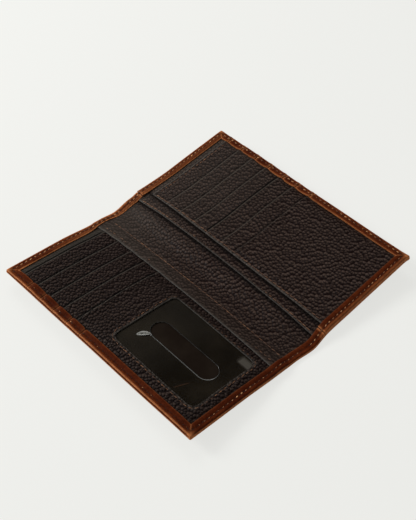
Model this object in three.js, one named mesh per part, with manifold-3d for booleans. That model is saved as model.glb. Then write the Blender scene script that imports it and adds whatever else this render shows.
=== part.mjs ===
import * as THREE from 'three';
import { mergeVertices } from 'three/addons/utils/BufferGeometryUtils.js';
import Module from 'manifold-3d';

// A long bifold wallet, open and inside up, in millimetres.
// X runs across the spine, Y along it and Z up. The origin is under the middle of the spine.
// Every half is laid out flat, then turned about its crease to the pose in which the wallet lies open.

const wasm = await Module();
wasm.setup();

// Overall sizes
const walletLength = 178;
const halfReach = 93.5;
const leftTiltDegrees = 5.6;
const rightTiltDegrees = 6.8;

// Thickness of each material
const coverThickness = 1.1;
const hemThickness = 0.9;
const backingThickness = 0.5;
const leafThickness = 0.6;
const panelThickness = 0.7;
const filmThickness = 0.3;
const idSheetThickness = 0.3;

// Clearances
const layGap = 0.12;
const edgeGap = 0.5;
const creaseGap = 0.15;
const closedClearance = 1.2;

// Turned hem of the cover
const hemWidth = 6.5;
const foldInnerEase = 0.3;
const cornerRadius = 1.8;
const hemSlitWidth = 0.7;
const hemSlitFromDividerEdge = 5;

// Card pockets, on both halves
const pocketPitch = 13.5;
const tabOverlap = 4;
const drape = 4;
const leafDepth = 80;
const leftLeafCount = 4;
const rightLeafCount = 5;

// Left half, from the far hem and from the crease
const leftBaseStrip = 5.5;
const centreStripReach = 20;
const leafRunUnderStrip = 8.5;
const windowTopSetback = 25;
const windowNearMargin = 7.5;
const windowOuterMargin = 8.5;
const windowSpineMargin = 5;
const windowCornerRadius = 5;
const idPocketSetback = 12.5;
const idPocketTail = 4;
const thumbSlotWidth = 15;
const thumbSlotTopInset = 9;
const thumbSlotNearInset = 8;

// Right half, from the far hem and from the crease
const dividerSetback = 5.5;
const cardBackingSetback = 14.5;
const cardBackingTopStrip = 4;
const rightFirstMouthDrop = 14.5;

// Counts and shares
const arcSteps = 6;
const roundingShares = [0, 0.32, 1];
const slabEdgeShare = 0.82;
const wallSeatShare = 0.86;
const mergeShare = 0.0000005;

const mergeTolerance = walletLength * mergeShare;
const cutOverrun = halfReach;
const endY = walletLength / 2;
const hemInnerY = endY - hemWidth;
const axisZ = coverThickness;

// The two stacks of leather meet face to face over the spine when the wallet is shut.
const leftStackHeight =
  backingThickness + leftLeafCount * leafThickness + idSheetThickness + filmThickness +
  panelThickness + (leftLeafCount + 4) * layGap;
const rightStackHeight =
  3 * panelThickness + backingThickness + rightLeafCount * leafThickness + (rightLeafCount + 4) * layGap;
const spineWidth = leftStackHeight + rightStackHeight + closedClearance;
const creaseX = spineWidth / 2;

const outerX = creaseX + halfReach;
const hemInnerX = outerX - hemWidth;
const layerOuterX = outerX - coverThickness - edgeGap;
const layerEndY = endY - coverThickness - edgeGap;

// Finishes
const coverLeather = new THREE.MeshStandardMaterial({ color: 0x8c4520, roughness: 0.5, metalness: 0 });
const pebbleLeather = new THREE.MeshStandardMaterial({ color: 0x322c29, roughness: 0.6, metalness: 0 });
const backingLeather = new THREE.MeshStandardMaterial({ color: 0x2a2624, roughness: 0.8, metalness: 0 });
const idSheetFinish = new THREE.MeshStandardMaterial({ color: 0x24221d, roughness: 0.7, metalness: 0 });
const clearFilm = new THREE.MeshStandardMaterial({
  color: 0x6b695f,
  roughness: 0.25,
  metalness: 0,
  transparent: true,
  opacity: 0.45,
});

// Closed solid over the cells of a station grid, between a lower and an upper height.
function gridSolid(xStations, yStations, lower, upper, holds) {
  const points = [];
  const columns = xStations.length - 1;
  const rows = yStations.length - 1;
  const filled = (i, j) => {
    if (i < 0 || j < 0 || i >= columns || j >= rows) return false;
    const x = (xStations[i] + xStations[i + 1]) / 2;
    const y = (yStations[j] + yStations[j + 1]) / 2;
    return holds(x, y);
  };
  const low = (i, j) => [xStations[i], yStations[j], lower(xStations[i], yStations[j])];
  const high = (i, j) => [xStations[i], yStations[j], upper(xStations[i], yStations[j])];
  const quad = (a, b, c, d) => points.push(...a, ...b, ...c, ...a, ...c, ...d);
  for (let i = 0; i < columns; i += 1) {
    for (let j = 0; j < rows; j += 1) {
      if (!filled(i, j)) continue;
      quad(high(i, j), high(i + 1, j), high(i + 1, j + 1), high(i, j + 1));
      points.push(...low(i, j), ...low(i + 1, j + 1), ...low(i + 1, j));
      points.push(...low(i, j), ...low(i, j + 1), ...low(i + 1, j + 1));
      if (!filled(i, j - 1)) quad(low(i, j), low(i + 1, j), high(i + 1, j), high(i, j));
      if (!filled(i, j + 1)) quad(low(i + 1, j + 1), low(i, j + 1), high(i, j + 1), high(i + 1, j + 1));
      if (!filled(i - 1, j)) quad(low(i, j + 1), low(i, j), high(i, j), high(i, j + 1));
      if (!filled(i + 1, j)) quad(low(i + 1, j), low(i + 1, j + 1), high(i + 1, j + 1), high(i + 1, j));
    }
  }
  const geometry = new THREE.BufferGeometry();
  geometry.setAttribute('position', new THREE.Float32BufferAttribute(points, 3));
  return mergeVertices(geometry, mergeTolerance);
}

// Joins and cuts
function toSolid(geometry) {
  const bare = geometry.clone();
  bare.deleteAttribute('normal');
  bare.deleteAttribute('uv');
  const merged = mergeVertices(bare, mergeTolerance);
  return new wasm.Manifold(new wasm.Mesh({
    numProp: 3,
    vertProperties: new Float32Array(merged.attributes.position.array),
    triVerts: new Uint32Array(merged.index.array),
  }));
}

function toGeometry(solid) {
  const mesh = solid.getMesh();
  const geometry = new THREE.BufferGeometry();
  geometry.setAttribute('position', new THREE.Float32BufferAttribute(mesh.vertProperties, 3));
  geometry.setIndex(Array.from(mesh.triVerts));
  return geometry;
}

// Upright prism of a plan outline, tall enough to pass through the whole wallet.
function planPrism(shape) {
  const geometry = new THREE.ExtrudeGeometry(shape, {
    depth: 2 * cutOverrun,
    bevelEnabled: false,
    curveSegments: arcSteps,
  });
  geometry.translate(0, 0, -cutOverrun);
  return toSolid(geometry);
}

// Prism of a cross-section in X and Z, longer than the wallet, along Y.
function sectionPrism(points) {
  const shape = new THREE.Shape(points.map(([x, z]) => new THREE.Vector2(x, z)));
  const geometry = new THREE.ExtrudeGeometry(shape, {
    depth: 2 * walletLength,
    bevelEnabled: false,
  });
  geometry.rotateX(Math.PI / 2);
  geometry.translate(0, walletLength, 0);
  return toSolid(geometry);
}

function roundedRectangle(x0, x1, y0, y1, radius) {
  const shape = new THREE.Shape();
  shape.moveTo(x0 + radius, y0);
  shape.lineTo(x1 - radius, y0);
  shape.absarc(x1 - radius, y0 + radius, radius, -Math.PI / 2, 0);
  shape.lineTo(x1, y1 - radius);
  shape.absarc(x1 - radius, y1 - radius, radius, 0, Math.PI / 2);
  shape.lineTo(x0 + radius, y1);
  shape.absarc(x0 + radius, y1 - radius, radius, Math.PI / 2, Math.PI);
  shape.lineTo(x0, y0 + radius);
  shape.absarc(x0 + radius, y0 + radius, radius, Math.PI, 1.5 * Math.PI);
  return shape;
}

// Each crease is mitred at 45 degrees above its axis, so a half can stand square on the spine.
function keepBesideCrease(side) {
  const edge = side * (creaseX + creaseGap);
  const far = side * (creaseX + creaseGap + 2 * cutOverrun);
  const points = [
    [edge, -cutOverrun],
    [edge, axisZ],
    [far, axisZ + 2 * cutOverrun],
    [far, -cutOverrun],
  ];
  return sectionPrism(side > 0 ? points.reverse() : points);
}

function keepBetweenCreases() {
  const edge = creaseX - creaseGap;
  return sectionPrism([
    [-edge, -cutOverrun],
    [edge, -cutOverrun],
    [edge, axisZ],
    [0, axisZ + edge],
    [-edge, axisZ],
  ]);
}

// Lay-up of a half
// A layer is a set of rectangles of one sheet. What lies over it is lifted by its thickness, and comes
// down again over a short drape outside its edges, or over one pocket pitch below the foot of a card leaf.
function presence(layer, x, y) {
  const shares = layer.areas.map((area) => {
    const fall = area.fall ?? drape;
    const outsideX = Math.max(area.x0 - x, x - area.x1, 0);
    const above = Math.max(y - area.y1, 0);
    const below = Math.max(area.y0 - y, 0);
    return Math.min(1 - outsideX / drape, 1 - above / drape, 1 - below / fall);
  });
  return Math.max(0, ...shares);
}

function heightOver(layers, x, y) {
  return layers.reduce((z, layer) => z + (layer.thickness + layGap) * presence(layer, x, y), axisZ);
}

function sortedStations(values, low, high) {
  const inside = values.filter((value) => value > low + layGap && value < high - layGap);
  const ordered = [low, ...inside, high].sort((a, b) => a - b);
  return ordered.filter((value, index) => index === 0 || value - ordered[index - 1] > layGap);
}

// All the layers of a half share these stations, so that no sheet dips into the one below it.
function stationsOf(layers) {
  const areas = layers.flatMap((layer) => layer.areas);
  const xs = areas.flatMap((area) => [area.x0 - drape, area.x0, area.x1, area.x1 + drape]);
  const ys = areas.flatMap((area) => [area.y0 - (area.fall ?? drape), area.y0, area.y1, area.y1 + drape]);
  return { xs, ys };
}

function layerGeometry(layers, index, stations) {
  const layer = layers[index];
  const under = layers.slice(0, index);
  const x0 = Math.min(...layer.areas.map((area) => area.x0));
  const x1 = Math.max(...layer.areas.map((area) => area.x1));
  const y0 = Math.min(...layer.areas.map((area) => area.y0));
  const y1 = Math.max(...layer.areas.map((area) => area.y1));
  const lower = (x, y) => heightOver(under, x, y) + layGap;
  const upper = (x, y) => lower(x, y) + layer.thickness;
  const holds = (x, y) =>
    layer.areas.some((area) => x > area.x0 && x < area.x1 && y > area.y0 && y < area.y1);
  return gridSolid(
    sortedStations(stations.xs, x0, x1),
    sortedStations(stations.ys, y0, y1),
    lower,
    upper,
    holds,
  );
}

// A card leaf is a T: a tab as wide as the half below its mouth, and a narrower body behind the next leaves.
function cardLeaf(name, mouthY, tab, body) {
  const tabFoot = mouthY - pocketPitch - tabOverlap;
  return {
    name,
    thickness: leafThickness,
    material: pebbleLeather,
    areas: [
      { x0: tab[0], x1: tab[1], y0: tabFoot, y1: mouthY, fall: pocketPitch },
      { x0: body[0], x1: body[1], y0: mouthY - leafDepth, y1: mouthY, fall: pocketPitch },
    ],
  };
}

// Left half
const stripEdgeX = -(creaseX + centreStripReach);
const leftLeafInnerX = stripEdgeX + leafRunUnderStrip;
const leftTab = [-layerOuterX, leftLeafInnerX];
const leftBody = [-(hemInnerX - drape), stripEdgeX - drape];
const leftFirstMouthY = hemInnerY - leftBaseStrip;
const windowPanelMouthY = leftFirstMouthY - leftLeafCount * pocketPitch;
const windowX0 = -(hemInnerX - windowOuterMargin);
const windowX1 = stripEdgeX - windowSpineMargin;
const windowY0 = -(hemInnerY - windowNearMargin);
const windowY1 = windowPanelMouthY - windowTopSetback;

function leftLayers() {
  const idPocket = {
    x0: leftBody[0],
    x1: leftBody[1],
    y0: windowY0 - idPocketTail,
    y1: windowPanelMouthY - idPocketSetback,
  };
  const layers = [{
    name: 'left_backing_panel',
    thickness: backingThickness,
    material: backingLeather,
    areas: [{ x0: -layerOuterX, x1: leftLeafInnerX, y0: -layerEndY, y1: layerEndY }],
  }];
  for (let i = 0; i < leftLeafCount; i += 1) {
    const mouthY = leftFirstMouthY - i * pocketPitch;
    layers.push(cardLeaf(`left_card_leaf_${i + 1}`, mouthY, leftTab, leftBody));
  }
  layers.push({
    name: 'id_back_sheet',
    thickness: idSheetThickness,
    material: idSheetFinish,
    areas: [idPocket],
  });
  layers.push({
    name: 'id_window_film',
    thickness: filmThickness,
    material: clearFilm,
    areas: [idPocket],
    cut: thumbSlot(),
  });
  layers.push({
    name: 'id_window_panel',
    thickness: panelThickness,
    material: pebbleLeather,
    areas: [{ x0: -layerOuterX, x1: leftLeafInnerX, y0: -layerEndY, y1: windowPanelMouthY }],
    cut: planPrism(roundedRectangle(windowX0, windowX1, windowY0, windowY1, windowCornerRadius)),
  });
  layers.push({
    name: 'centre_panel_left',
    thickness: panelThickness,
    material: pebbleLeather,
    areas: [{ x0: stripEdgeX, x1: -creaseX, y0: -layerEndY, y1: layerEndY }],
    keep: keepBesideCrease(-1),
  });
  return layers;
}

// The thumb slot has round ends, and lies on the middle line of the window.
function thumbSlot() {
  const radius = thumbSlotWidth / 2;
  const middleX = (windowX0 + windowX1) / 2;
  const nearY = windowY0 + thumbSlotNearInset + radius;
  const farY = windowY1 - thumbSlotTopInset - radius;
  const shape = new THREE.Shape();
  shape.absarc(middleX, farY, radius, 0, Math.PI);
  shape.absarc(middleX, nearY, radius, Math.PI, 2 * Math.PI);
  return planPrism(shape);
}

// Right half
const dividerX = creaseX + dividerSetback;
const cardBackingX = creaseX + cardBackingSetback;
const cardBackingTopY = hemInnerY - cardBackingTopStrip;
const rightFirstMouthY = cardBackingTopY - rightFirstMouthDrop;
const rightTab = [cardBackingX, layerOuterX];
const rightBody = [cardBackingX + drape, hemInnerX - drape];

function rightLayers() {
  const slipMouthY = rightFirstMouthY - rightLeafCount * pocketPitch;
  const layers = [
    {
      name: 'centre_panel_right',
      thickness: panelThickness,
      material: pebbleLeather,
      areas: [{ x0: creaseX, x1: layerOuterX, y0: -layerEndY, y1: layerEndY }],
      keep: keepBesideCrease(1),
    },
    {
      name: 'bill_divider',
      thickness: panelThickness,
      material: pebbleLeather,
      areas: [{ x0: dividerX, x1: layerOuterX, y0: -layerEndY, y1: layerEndY }],
    },
    {
      name: 'right_card_backing',
      thickness: backingThickness,
      material: pebbleLeather,
      areas: [{ x0: cardBackingX, x1: layerOuterX, y0: -layerEndY, y1: cardBackingTopY }],
    },
  ];
  for (let i = 0; i < rightLeafCount; i += 1) {
    const mouthY = rightFirstMouthY - i * pocketPitch;
    layers.push(cardLeaf(`right_card_leaf_${i + 1}`, mouthY, rightTab, rightBody));
  }
  layers.push({
    name: 'right_slip_panel',
    thickness: panelThickness,
    material: pebbleLeather,
    areas: [{ x0: cardBackingX, x1: layerOuterX, y0: -layerEndY, y1: slipMouthY }],
  });
  return layers;
}

// Spine
function spineLayers() {
  return [{
    name: 'centre_panel_spine',
    thickness: panelThickness,
    material: pebbleLeather,
    areas: [{ x0: -creaseX, x1: creaseX, y0: -layerEndY, y1: layerEndY }],
    keep: keepBetweenCreases(),
  }];
}

// Cover
// How far a rounded edge lies inside the square one, at a distance from the outline.
function roundOff(distance) {
  if (distance >= coverThickness) return 0;
  const inward = coverThickness - distance;
  return coverThickness - Math.sqrt(coverThickness ** 2 - inward ** 2);
}

// The cover is a flat sheet whose edge is turned over the lay-up, down to the hem's inner edge.
// edgeX lists the outline's sides in X: one for a half, none for the spine.
function coverGeometry({ x0, x1, edgeX, layers, keep, slits = [] }) {
  const distanceX = (x) => Math.min(...edgeX.map((edge) => Math.abs(edge - x)), halfReach);
  const distance = (x, y) => Math.min(distanceX(x), endY - Math.abs(y));
  const fromEdge = [...roundingShares.map((share) => share * coverThickness)];
  const hemStations = [...fromEdge, coverThickness + foldInnerEase, hemWidth];
  const inwardX = (offset) => edgeX.map((edge) => edge - Math.sign(edge) * offset);
  const endStations = (offset) => [endY - offset, offset - endY];

  const slab = gridSolid(
    sortedStations(fromEdge.flatMap(inwardX), x0, x1),
    sortedStations(fromEdge.flatMap(endStations), -endY, endY),
    (x, y) => Math.min(roundOff(distance(x, y)), slabEdgeShare * coverThickness),
    () => coverThickness,
    () => true,
  );

  const { xs, ys } = stationsOf(layers);
  const clampX = (x) => THREE.MathUtils.clamp(x, -layerOuterX, layerOuterX);
  const clampY = (y) => THREE.MathUtils.clamp(y, -layerEndY, layerEndY);
  const underHem = (x, y) => heightOver(layers, clampX(x), clampY(y)) + layGap;
  const beyondLayers = (value) => Math.abs(value) < layerEndY - layGap;
  const hem = gridSolid(
    sortedStations([...xs.filter((x) => Math.abs(x) < hemInnerX), ...hemStations.flatMap(inwardX)], x0, x1),
    sortedStations([...ys.filter(beyondLayers), ...hemStations.flatMap(endStations)], -endY, endY),
    (x, y) => (distance(x, y) > coverThickness + foldInnerEase / 2
      ? underHem(x, y)
      : wallSeatShare * coverThickness),
    (x, y) => underHem(x, y) + hemThickness - roundOff(distance(x, y)),
    (x, y) => distance(x, y) < hemWidth,
  );

  const outline = planPrism(roundedRectangle(-outerX, outerX, -endY, endY, cornerRadius));
  let solid = toSolid(slab).add(toSolid(hem)).intersect(outline).intersect(keep);
  slits.forEach((slitX) => {
    solid = solid.subtract(hemSlit(slitX));
  });
  return toGeometry(solid);
}

// The hem is slit beside the pocket mouths, where its two tongues lie at different heights.
function hemSlit(slitX) {
  const half = hemSlitWidth / 2;
  return sectionPrism([
    [slitX - half, coverThickness + layGap],
    [slitX + half, coverThickness + layGap],
    [slitX + half, cutOverrun],
    [slitX - half, cutOverrun],
  ]);
}

// Assembly
function meshOf(name, geometry, material) {
  const mesh = new THREE.Mesh(geometry, material);
  mesh.name = name;
  return mesh;
}

function addLayers(group, layers) {
  const stations = stationsOf(layers);
  layers.forEach((layer, index) => {
    let geometry = layerGeometry(layers, index, stations);
    if (layer.cut) geometry = toGeometry(toSolid(geometry).subtract(layer.cut));
    if (layer.keep) geometry = toGeometry(toSolid(geometry).intersect(layer.keep));
    group.add(meshOf(layer.name, geometry, layer.material));
  });
}

// A half turns about its crease, at the inner face of the cover.
function turnedHalf(side, tiltDegrees) {
  const crease = new THREE.Group();
  crease.position.set(side * creaseX, 0, axisZ);
  crease.rotation.y = -side * THREE.MathUtils.degToRad(tiltDegrees);
  const flat = new THREE.Group();
  flat.position.set(-side * creaseX, 0, -axisZ);
  crease.add(flat);
  return { crease, flat };
}

function makeHalf({ side, tiltDegrees, layers, coverName, slits = [] }) {
  const { crease, flat } = turnedHalf(side, tiltDegrees);
  const geometry = coverGeometry({
    x0: side > 0 ? creaseX : -outerX,
    x1: side > 0 ? outerX : -creaseX,
    edgeX: [side * outerX],
    layers,
    keep: keepBesideCrease(side),
    slits,
  });
  flat.add(meshOf(coverName, geometry, coverLeather));
  addLayers(flat, layers);
  return crease;
}

function makeSpine() {
  const group = new THREE.Group();
  const layers = spineLayers();
  const geometry = coverGeometry({
    x0: -creaseX,
    x1: creaseX,
    edgeX: [],
    layers,
    keep: keepBetweenCreases(),
  });
  group.add(meshOf('cover_spine', geometry, coverLeather));
  addLayers(group, layers);
  return group;
}

const wallet = new THREE.Group();
wallet.add(makeSpine());
wallet.add(makeHalf({
  side: -1,
  tiltDegrees: leftTiltDegrees,
  layers: leftLayers(),
  coverName: 'cover_left',
}));
wallet.add(makeHalf({
  side: 1,
  tiltDegrees: rightTiltDegrees,
  layers: rightLayers(),
  coverName: 'cover_right',
  slits: [dividerX + hemSlitFromDividerEdge],
}));
wallet.updateMatrixWorld(true);

export default wallet;
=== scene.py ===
import math

import bpy
import numpy as np
from mathutils import Matrix, Vector


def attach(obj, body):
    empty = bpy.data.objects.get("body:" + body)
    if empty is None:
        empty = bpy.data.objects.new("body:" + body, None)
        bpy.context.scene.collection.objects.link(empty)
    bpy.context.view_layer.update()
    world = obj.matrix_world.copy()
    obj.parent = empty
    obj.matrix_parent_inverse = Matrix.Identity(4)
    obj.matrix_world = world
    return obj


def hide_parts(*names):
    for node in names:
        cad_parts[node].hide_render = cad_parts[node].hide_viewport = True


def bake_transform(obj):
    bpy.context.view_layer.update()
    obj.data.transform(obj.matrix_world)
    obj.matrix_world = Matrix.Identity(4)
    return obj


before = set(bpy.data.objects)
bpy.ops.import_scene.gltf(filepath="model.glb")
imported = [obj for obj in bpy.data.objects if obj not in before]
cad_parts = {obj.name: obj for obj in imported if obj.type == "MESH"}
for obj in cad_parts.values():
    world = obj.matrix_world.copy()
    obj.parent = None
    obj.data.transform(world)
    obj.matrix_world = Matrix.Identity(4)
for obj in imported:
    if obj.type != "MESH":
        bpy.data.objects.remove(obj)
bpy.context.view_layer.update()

# A long bifold wallet, open and inside up. Sizes are in millimetres, and in metres once a piece is folded.
# X runs across the spine and Y along it. Heights start at the cover's underside, before the halves tilt.
MM = 0.001
WALLET_LENGTH = 178.0
HALF_REACH = 93.5
SPINE_WIDTH = 13.04
LEFT_TILT = math.radians(5.6)
RIGHT_TILT = math.radians(6.8)
BEND_EASE = 3.0

# Thickness of each material, the gaps between sheets, and the rounds on their cut edges
COVER_THICKNESS = 1.1
SHELL_THICKNESS = 1.0
HEM_THICKNESS = 0.9
BACKING_THICKNESS = 0.5
LEAF_THICKNESS = 0.6
LEAF_TAIL_THICKNESS = 0.25
PANEL_THICKNESS = 0.7
FILM_THICKNESS = 0.3
ID_SHEET_THICKNESS = 0.3
LAY_GAP = 0.12
EDGE_GAP = 0.5
COVER_ROUND = 0.12
PANEL_ROUND = 0.12
LEAF_ROUND = 0.1

# Hem and card pockets
HEM_WIDTH = 6.5
HEM_MARGIN = 1.0
CORNER_RADIUS = 0.8
EDGE_ROLL = 1.4
POCKET_PITCH = 13.5
TAB_OVERLAP = 4.0
DRAPE = 4.0
LEAF_DEPTH = 80.0
LEFT_LEAF_COUNT = 4
RIGHT_LEAF_COUNT = 5

CREASE_X = SPINE_WIDTH / 2
OUTER_X = CREASE_X + HALF_REACH
END_Y = WALLET_LENGTH / 2
HEM_INNER_X = OUTER_X - HEM_WIDTH
HEM_INNER_Y = END_Y - HEM_WIDTH
LAYER_OUTER_X = OUTER_X - COVER_THICKNESS - EDGE_GAP
LAYER_END_Y = END_Y - COVER_THICKNESS - EDGE_GAP

# Left half: the strip of the centre panel, the mouths of the card leaves, and the window with its thumb slot
CENTRE_STRIP_REACH = 20.0
LEAF_RUN_UNDER_STRIP = 8.5
LEFT_BASE_STRIP = 5.5
STRIP_EDGE_X = -(CREASE_X + CENTRE_STRIP_REACH)
LEFT_INNER_X = STRIP_EDGE_X + LEAF_RUN_UNDER_STRIP
*LEFT_MOUTHS, WINDOW_MOUTH = [
    HEM_INNER_Y - LEFT_BASE_STRIP - i * POCKET_PITCH for i in range(LEFT_LEAF_COUNT + 1)
]
WINDOW_OUTER_MARGIN = 8.5
WINDOW_SPINE_MARGIN = 5.0
WINDOW_NEAR_MARGIN = 7.5
WINDOW_TOP_SETBACK = 25.0
WINDOW_CORNER = 5.0
WINDOW = (
    -(HEM_INNER_X - WINDOW_OUTER_MARGIN), STRIP_EDGE_X - WINDOW_SPINE_MARGIN,
    -(HEM_INNER_Y - WINDOW_NEAR_MARGIN), WINDOW_MOUTH - WINDOW_TOP_SETBACK,
)
ID_POCKET_TAIL = 4.0
ID_POCKET_SETBACK = 12.5
ID_POCKET = (
    -(HEM_INNER_X - DRAPE), STRIP_EDGE_X - DRAPE,
    WINDOW[2] - ID_POCKET_TAIL, WINDOW_MOUTH - ID_POCKET_SETBACK,
)
SLOT_RADIUS = 7.5
SLOT_NEAR_INSET = 8.0
SLOT_TOP_INSET = 9.0
SLOT_X = (WINDOW[0] + WINDOW[1]) / 2
SLOT_Y = (WINDOW[2] + SLOT_NEAR_INSET + SLOT_RADIUS, WINDOW[3] - SLOT_TOP_INSET - SLOT_RADIUS)

# Right half: the bill divider, the backing of the card pockets, and the slits in the hem beside the divider
CARD_BACKING_TOP_STRIP = 4.0
RIGHT_FIRST_MOUTH_DROP = 14.5
DIVIDER_X = CREASE_X + 5.5
CARD_BACKING_X = CREASE_X + 14.5
CARD_BACKING_TOP = HEM_INNER_Y - CARD_BACKING_TOP_STRIP
*RIGHT_MOUTHS, SLIP_MOUTH = [
    CARD_BACKING_TOP - RIGHT_FIRST_MOUTH_DROP - i * POCKET_PITCH for i in range(RIGHT_LEAF_COUNT + 1)
]
FAR_SLIT_X = DIVIDER_X + 2.9
NEAR_SLIT_X = DIVIDER_X + 5.0
SLIT_HALF = 0.3

# How far the mouth of each card leaf gapes, from the far leaf to the near one
LEFT_GAPES = (0.2, 0.25, 0.25, 0.3)
RIGHT_GAPES = (0.15, 0.15, 0.2, 0.7, 0.25)

# Places on the two long sides where the ends of the leaves pinch the hem in
LEFT_PINCHES = (66.5, 53.0, 39.5, 26.0, 13.0)
RIGHT_PINCHES = (75.5, 62.0, 48.0, 35.0, 20.5, 8.0, -5.5)

# Seams: the inset of the hem's row and the pitch of all rows. A stitch or hole is length, width and height,
# the slant of a stitch is in radians, and loose is how much deeper one may sink than its row.
THREAD_INSET = 3.1
STITCH_PITCH = 3.8
HEM_SEAM = {"stitch": (2.1, 0.85, 0.62), "hole": (1.1, 0.8, 0.18), "slant": 0.2, "loose": 0.17}
PANEL_SEAM = {"stitch": (3.6, 0.5, 0.4), "hole": (0.7, 0.5, 0.14), "slant": 0.08, "loose": 0.05}

# Camera, from the photograph's view: where it looks, from what side, and how far off, in metres
VIEW_AZIMUTH = math.radians(-43.81)
VIEW_ELEVATION = math.radians(48.08)
VIEW_DISTANCE = 0.6599
VIEW_TARGET = Vector((0.0096, 0.01015, 0.0))
FOCAL_PIXELS = 970.8
FRAME_WIDTH_PIXELS = 416
SENSOR_WIDTH = 36.0
CLIP_RANGE = (0.01, 100.0)
FLOOR_SIZE = 80.0

# Lay of the pebbled hide's grain in plan, and how far off a pebble's middle its painted lit side is, in
# pebbles
GRAIN_LAY = math.radians(-44)
LIT_STEP_SHARE = 0.35


def place_camera():
    back = Vector((
        math.sin(VIEW_AZIMUTH) * math.cos(VIEW_ELEVATION),
        -math.cos(VIEW_AZIMUTH) * math.cos(VIEW_ELEVATION),
        math.sin(VIEW_ELEVATION),
    ))
    lens = bpy.data.cameras.new("camera")
    lens.sensor_fit = "HORIZONTAL"
    lens.sensor_width = SENSOR_WIDTH
    lens.lens = FOCAL_PIXELS / FRAME_WIDTH_PIXELS * SENSOR_WIDTH
    lens.clip_start, lens.clip_end = CLIP_RANGE
    camera = bpy.data.objects.new("camera", lens)
    bpy.context.scene.collection.objects.link(camera)
    camera.location = VIEW_TARGET + back * VIEW_DISTANCE
    camera.rotation_euler = (-back).to_track_quat("-Z", "Y").to_euler()
    bpy.context.scene.camera = camera


# Shader maths: a wrapped socket takes part in plain arithmetic.
class Value:
    def __init__(self, look, socket):
        self.look, self.socket = look, socket

    def math(self, operation, *others, clamp=False):
        return self.look.node("ShaderNodeMath", {"operation": operation, "use_clamp": clamp}, self, *others)

    def __add__(self, other):
        return self.math("ADD", other)

    def __sub__(self, other):
        return self.math("SUBTRACT", other)

    def __rsub__(self, other):
        return self.look.node("ShaderNodeMath", {"operation": "SUBTRACT"}, other, self)

    def __mul__(self, other):
        return self.math("MULTIPLY", other)

    __radd__ = __add__
    __rmul__ = __mul__

    def clamped(self):
        return self.math("ADD", 0.0, clamp=True)

    def between(self, low, high):
        """0 below low, 1 above high, smooth in between."""
        settings = {"interpolation_type": "SMOOTHSTEP"}
        return self.look.node("ShaderNodeMapRange", settings, self, low, high, 0.0, 1.0)


class Look:
    """A material in the making. Its patterns lie on Object coordinates."""

    def __init__(self, name):
        self.material = bpy.data.materials.new(name)
        self.material.use_nodes = True
        self.tree = self.material.node_tree
        self.tree.nodes.clear()
        self.output = self.tree.nodes.new("ShaderNodeOutputMaterial")
        self.place = self.node("ShaderNodeTexCoord", {}, output="Object")

    def node(self, kind, settings, *inputs, output=0, sockets=None, **named):
        """Adds a node. Its sockets are filled in order, by number, or by name with _ for a space."""
        made = self.tree.nodes.new(kind)
        for key, setting in settings.items():
            setattr(made, key, setting)
        filled = {**dict(enumerate(inputs)), **(sockets or {})}
        filled.update((key.replace("_", " "), given) for key, given in named.items())
        for key, given in filled.items():
            if isinstance(given, Value):
                self.tree.links.new(given.socket, made.inputs[key])
            else:
                made.inputs[key].default_value = given
        return Value(self, made.outputs[output])

    def noise(self, per_metre, detail=3.0, roughness=0.55):
        return self.node(
            "ShaderNodeTexNoise", {}, Vector=self.place, Scale=per_metre, Detail=detail, Roughness=roughness
        )

    def attribute(self, name):
        return self.node("ShaderNodeAttribute", {"attribute_name": name}, output="Fac")

    def mix(self, share, first, second):
        """Mix of two colours, which are the sockets 6 and 7 of a Mix node, with its result at 2."""
        settings = {"data_type": "RGBA", "clamp_factor": True}
        return self.node("ShaderNodeMix", settings, share, sockets={6: first, 7: second}, output=2)

    def vector(self, operation, *inputs, **named):
        return self.node("ShaderNodeVectorMath", {"operation": operation}, *inputs, **named)

    def warped(self, per_metre, reach):
        """Object coordinates pushed about by noise, so that a cell pattern looks grown."""
        push = self.node(
            "ShaderNodeTexNoise", {}, Vector=self.place, Scale=per_metre, Detail=2.0, output="Color"
        )
        centred = self.vector("SUBTRACT", push, (0.5, 0.5, 0.5))
        return self.vector("ADD", self.place, self.vector("SCALE", centred, Scale=reach))

    def cells(self, feature, place, per_metre, **settings):
        settings["feature"] = feature
        return self.node("ShaderNodeTexVoronoi", settings, Vector=place, Scale=per_metre)

    def bump(self, height, strength, depth, **named):
        return self.node("ShaderNodeBump", {}, Height=height, Strength=strength, Distance=depth, **named)

    def finish(self, **sockets):
        shader = self.node("ShaderNodeBsdfPrincipled", {}, **sockets)
        self.tree.links.new(shader.socket, self.output.inputs["Surface"])
        return self.material


def rgb(red, green, blue):
    return (red, green, blue, 1.0)


# Shades of the smooth cover leather. The rubbed shade also carries painted highlights and painted light
# from the floor, and the pressed shade painted shade in grooves and pinches.
COGNAC_DARK = rgb(0.058, 0.0092, 0.002)
COGNAC_BROWN = rgb(0.15, 0.03, 0.0066)
COGNAC_WARM = rgb(0.18, 0.04, 0.0085)
COGNAC_DARKENED = rgb(0.046, 0.0068, 0.0013)
COGNAC_SCUFFED = rgb(0.04, 0.006, 0.0014)
COGNAC_RUBBED_AND_LIT = rgb(0.5, 0.18, 0.064)
COGNAC_PRESSED = rgb(0.022, 0.005, 0.002)

# Shades of the pebbled leather: for the creases and each pebble's painted shaded side, for pressed places,
# for painted highlights, sheen and wear, and for painted shade by mouths and free edges with even darkening
PEBBLE_CREASE = rgb(0.005, 0.001, 0.0006)
PEBBLE_PRESSED = rgb(0.017, 0.0115, 0.0082)
PEBBLE_LIT_AND_WORN = rgb(0.1, 0.088, 0.073)
PEBBLE_SHADED = rgb(0.0015, 0.001, 0.0008)

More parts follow.
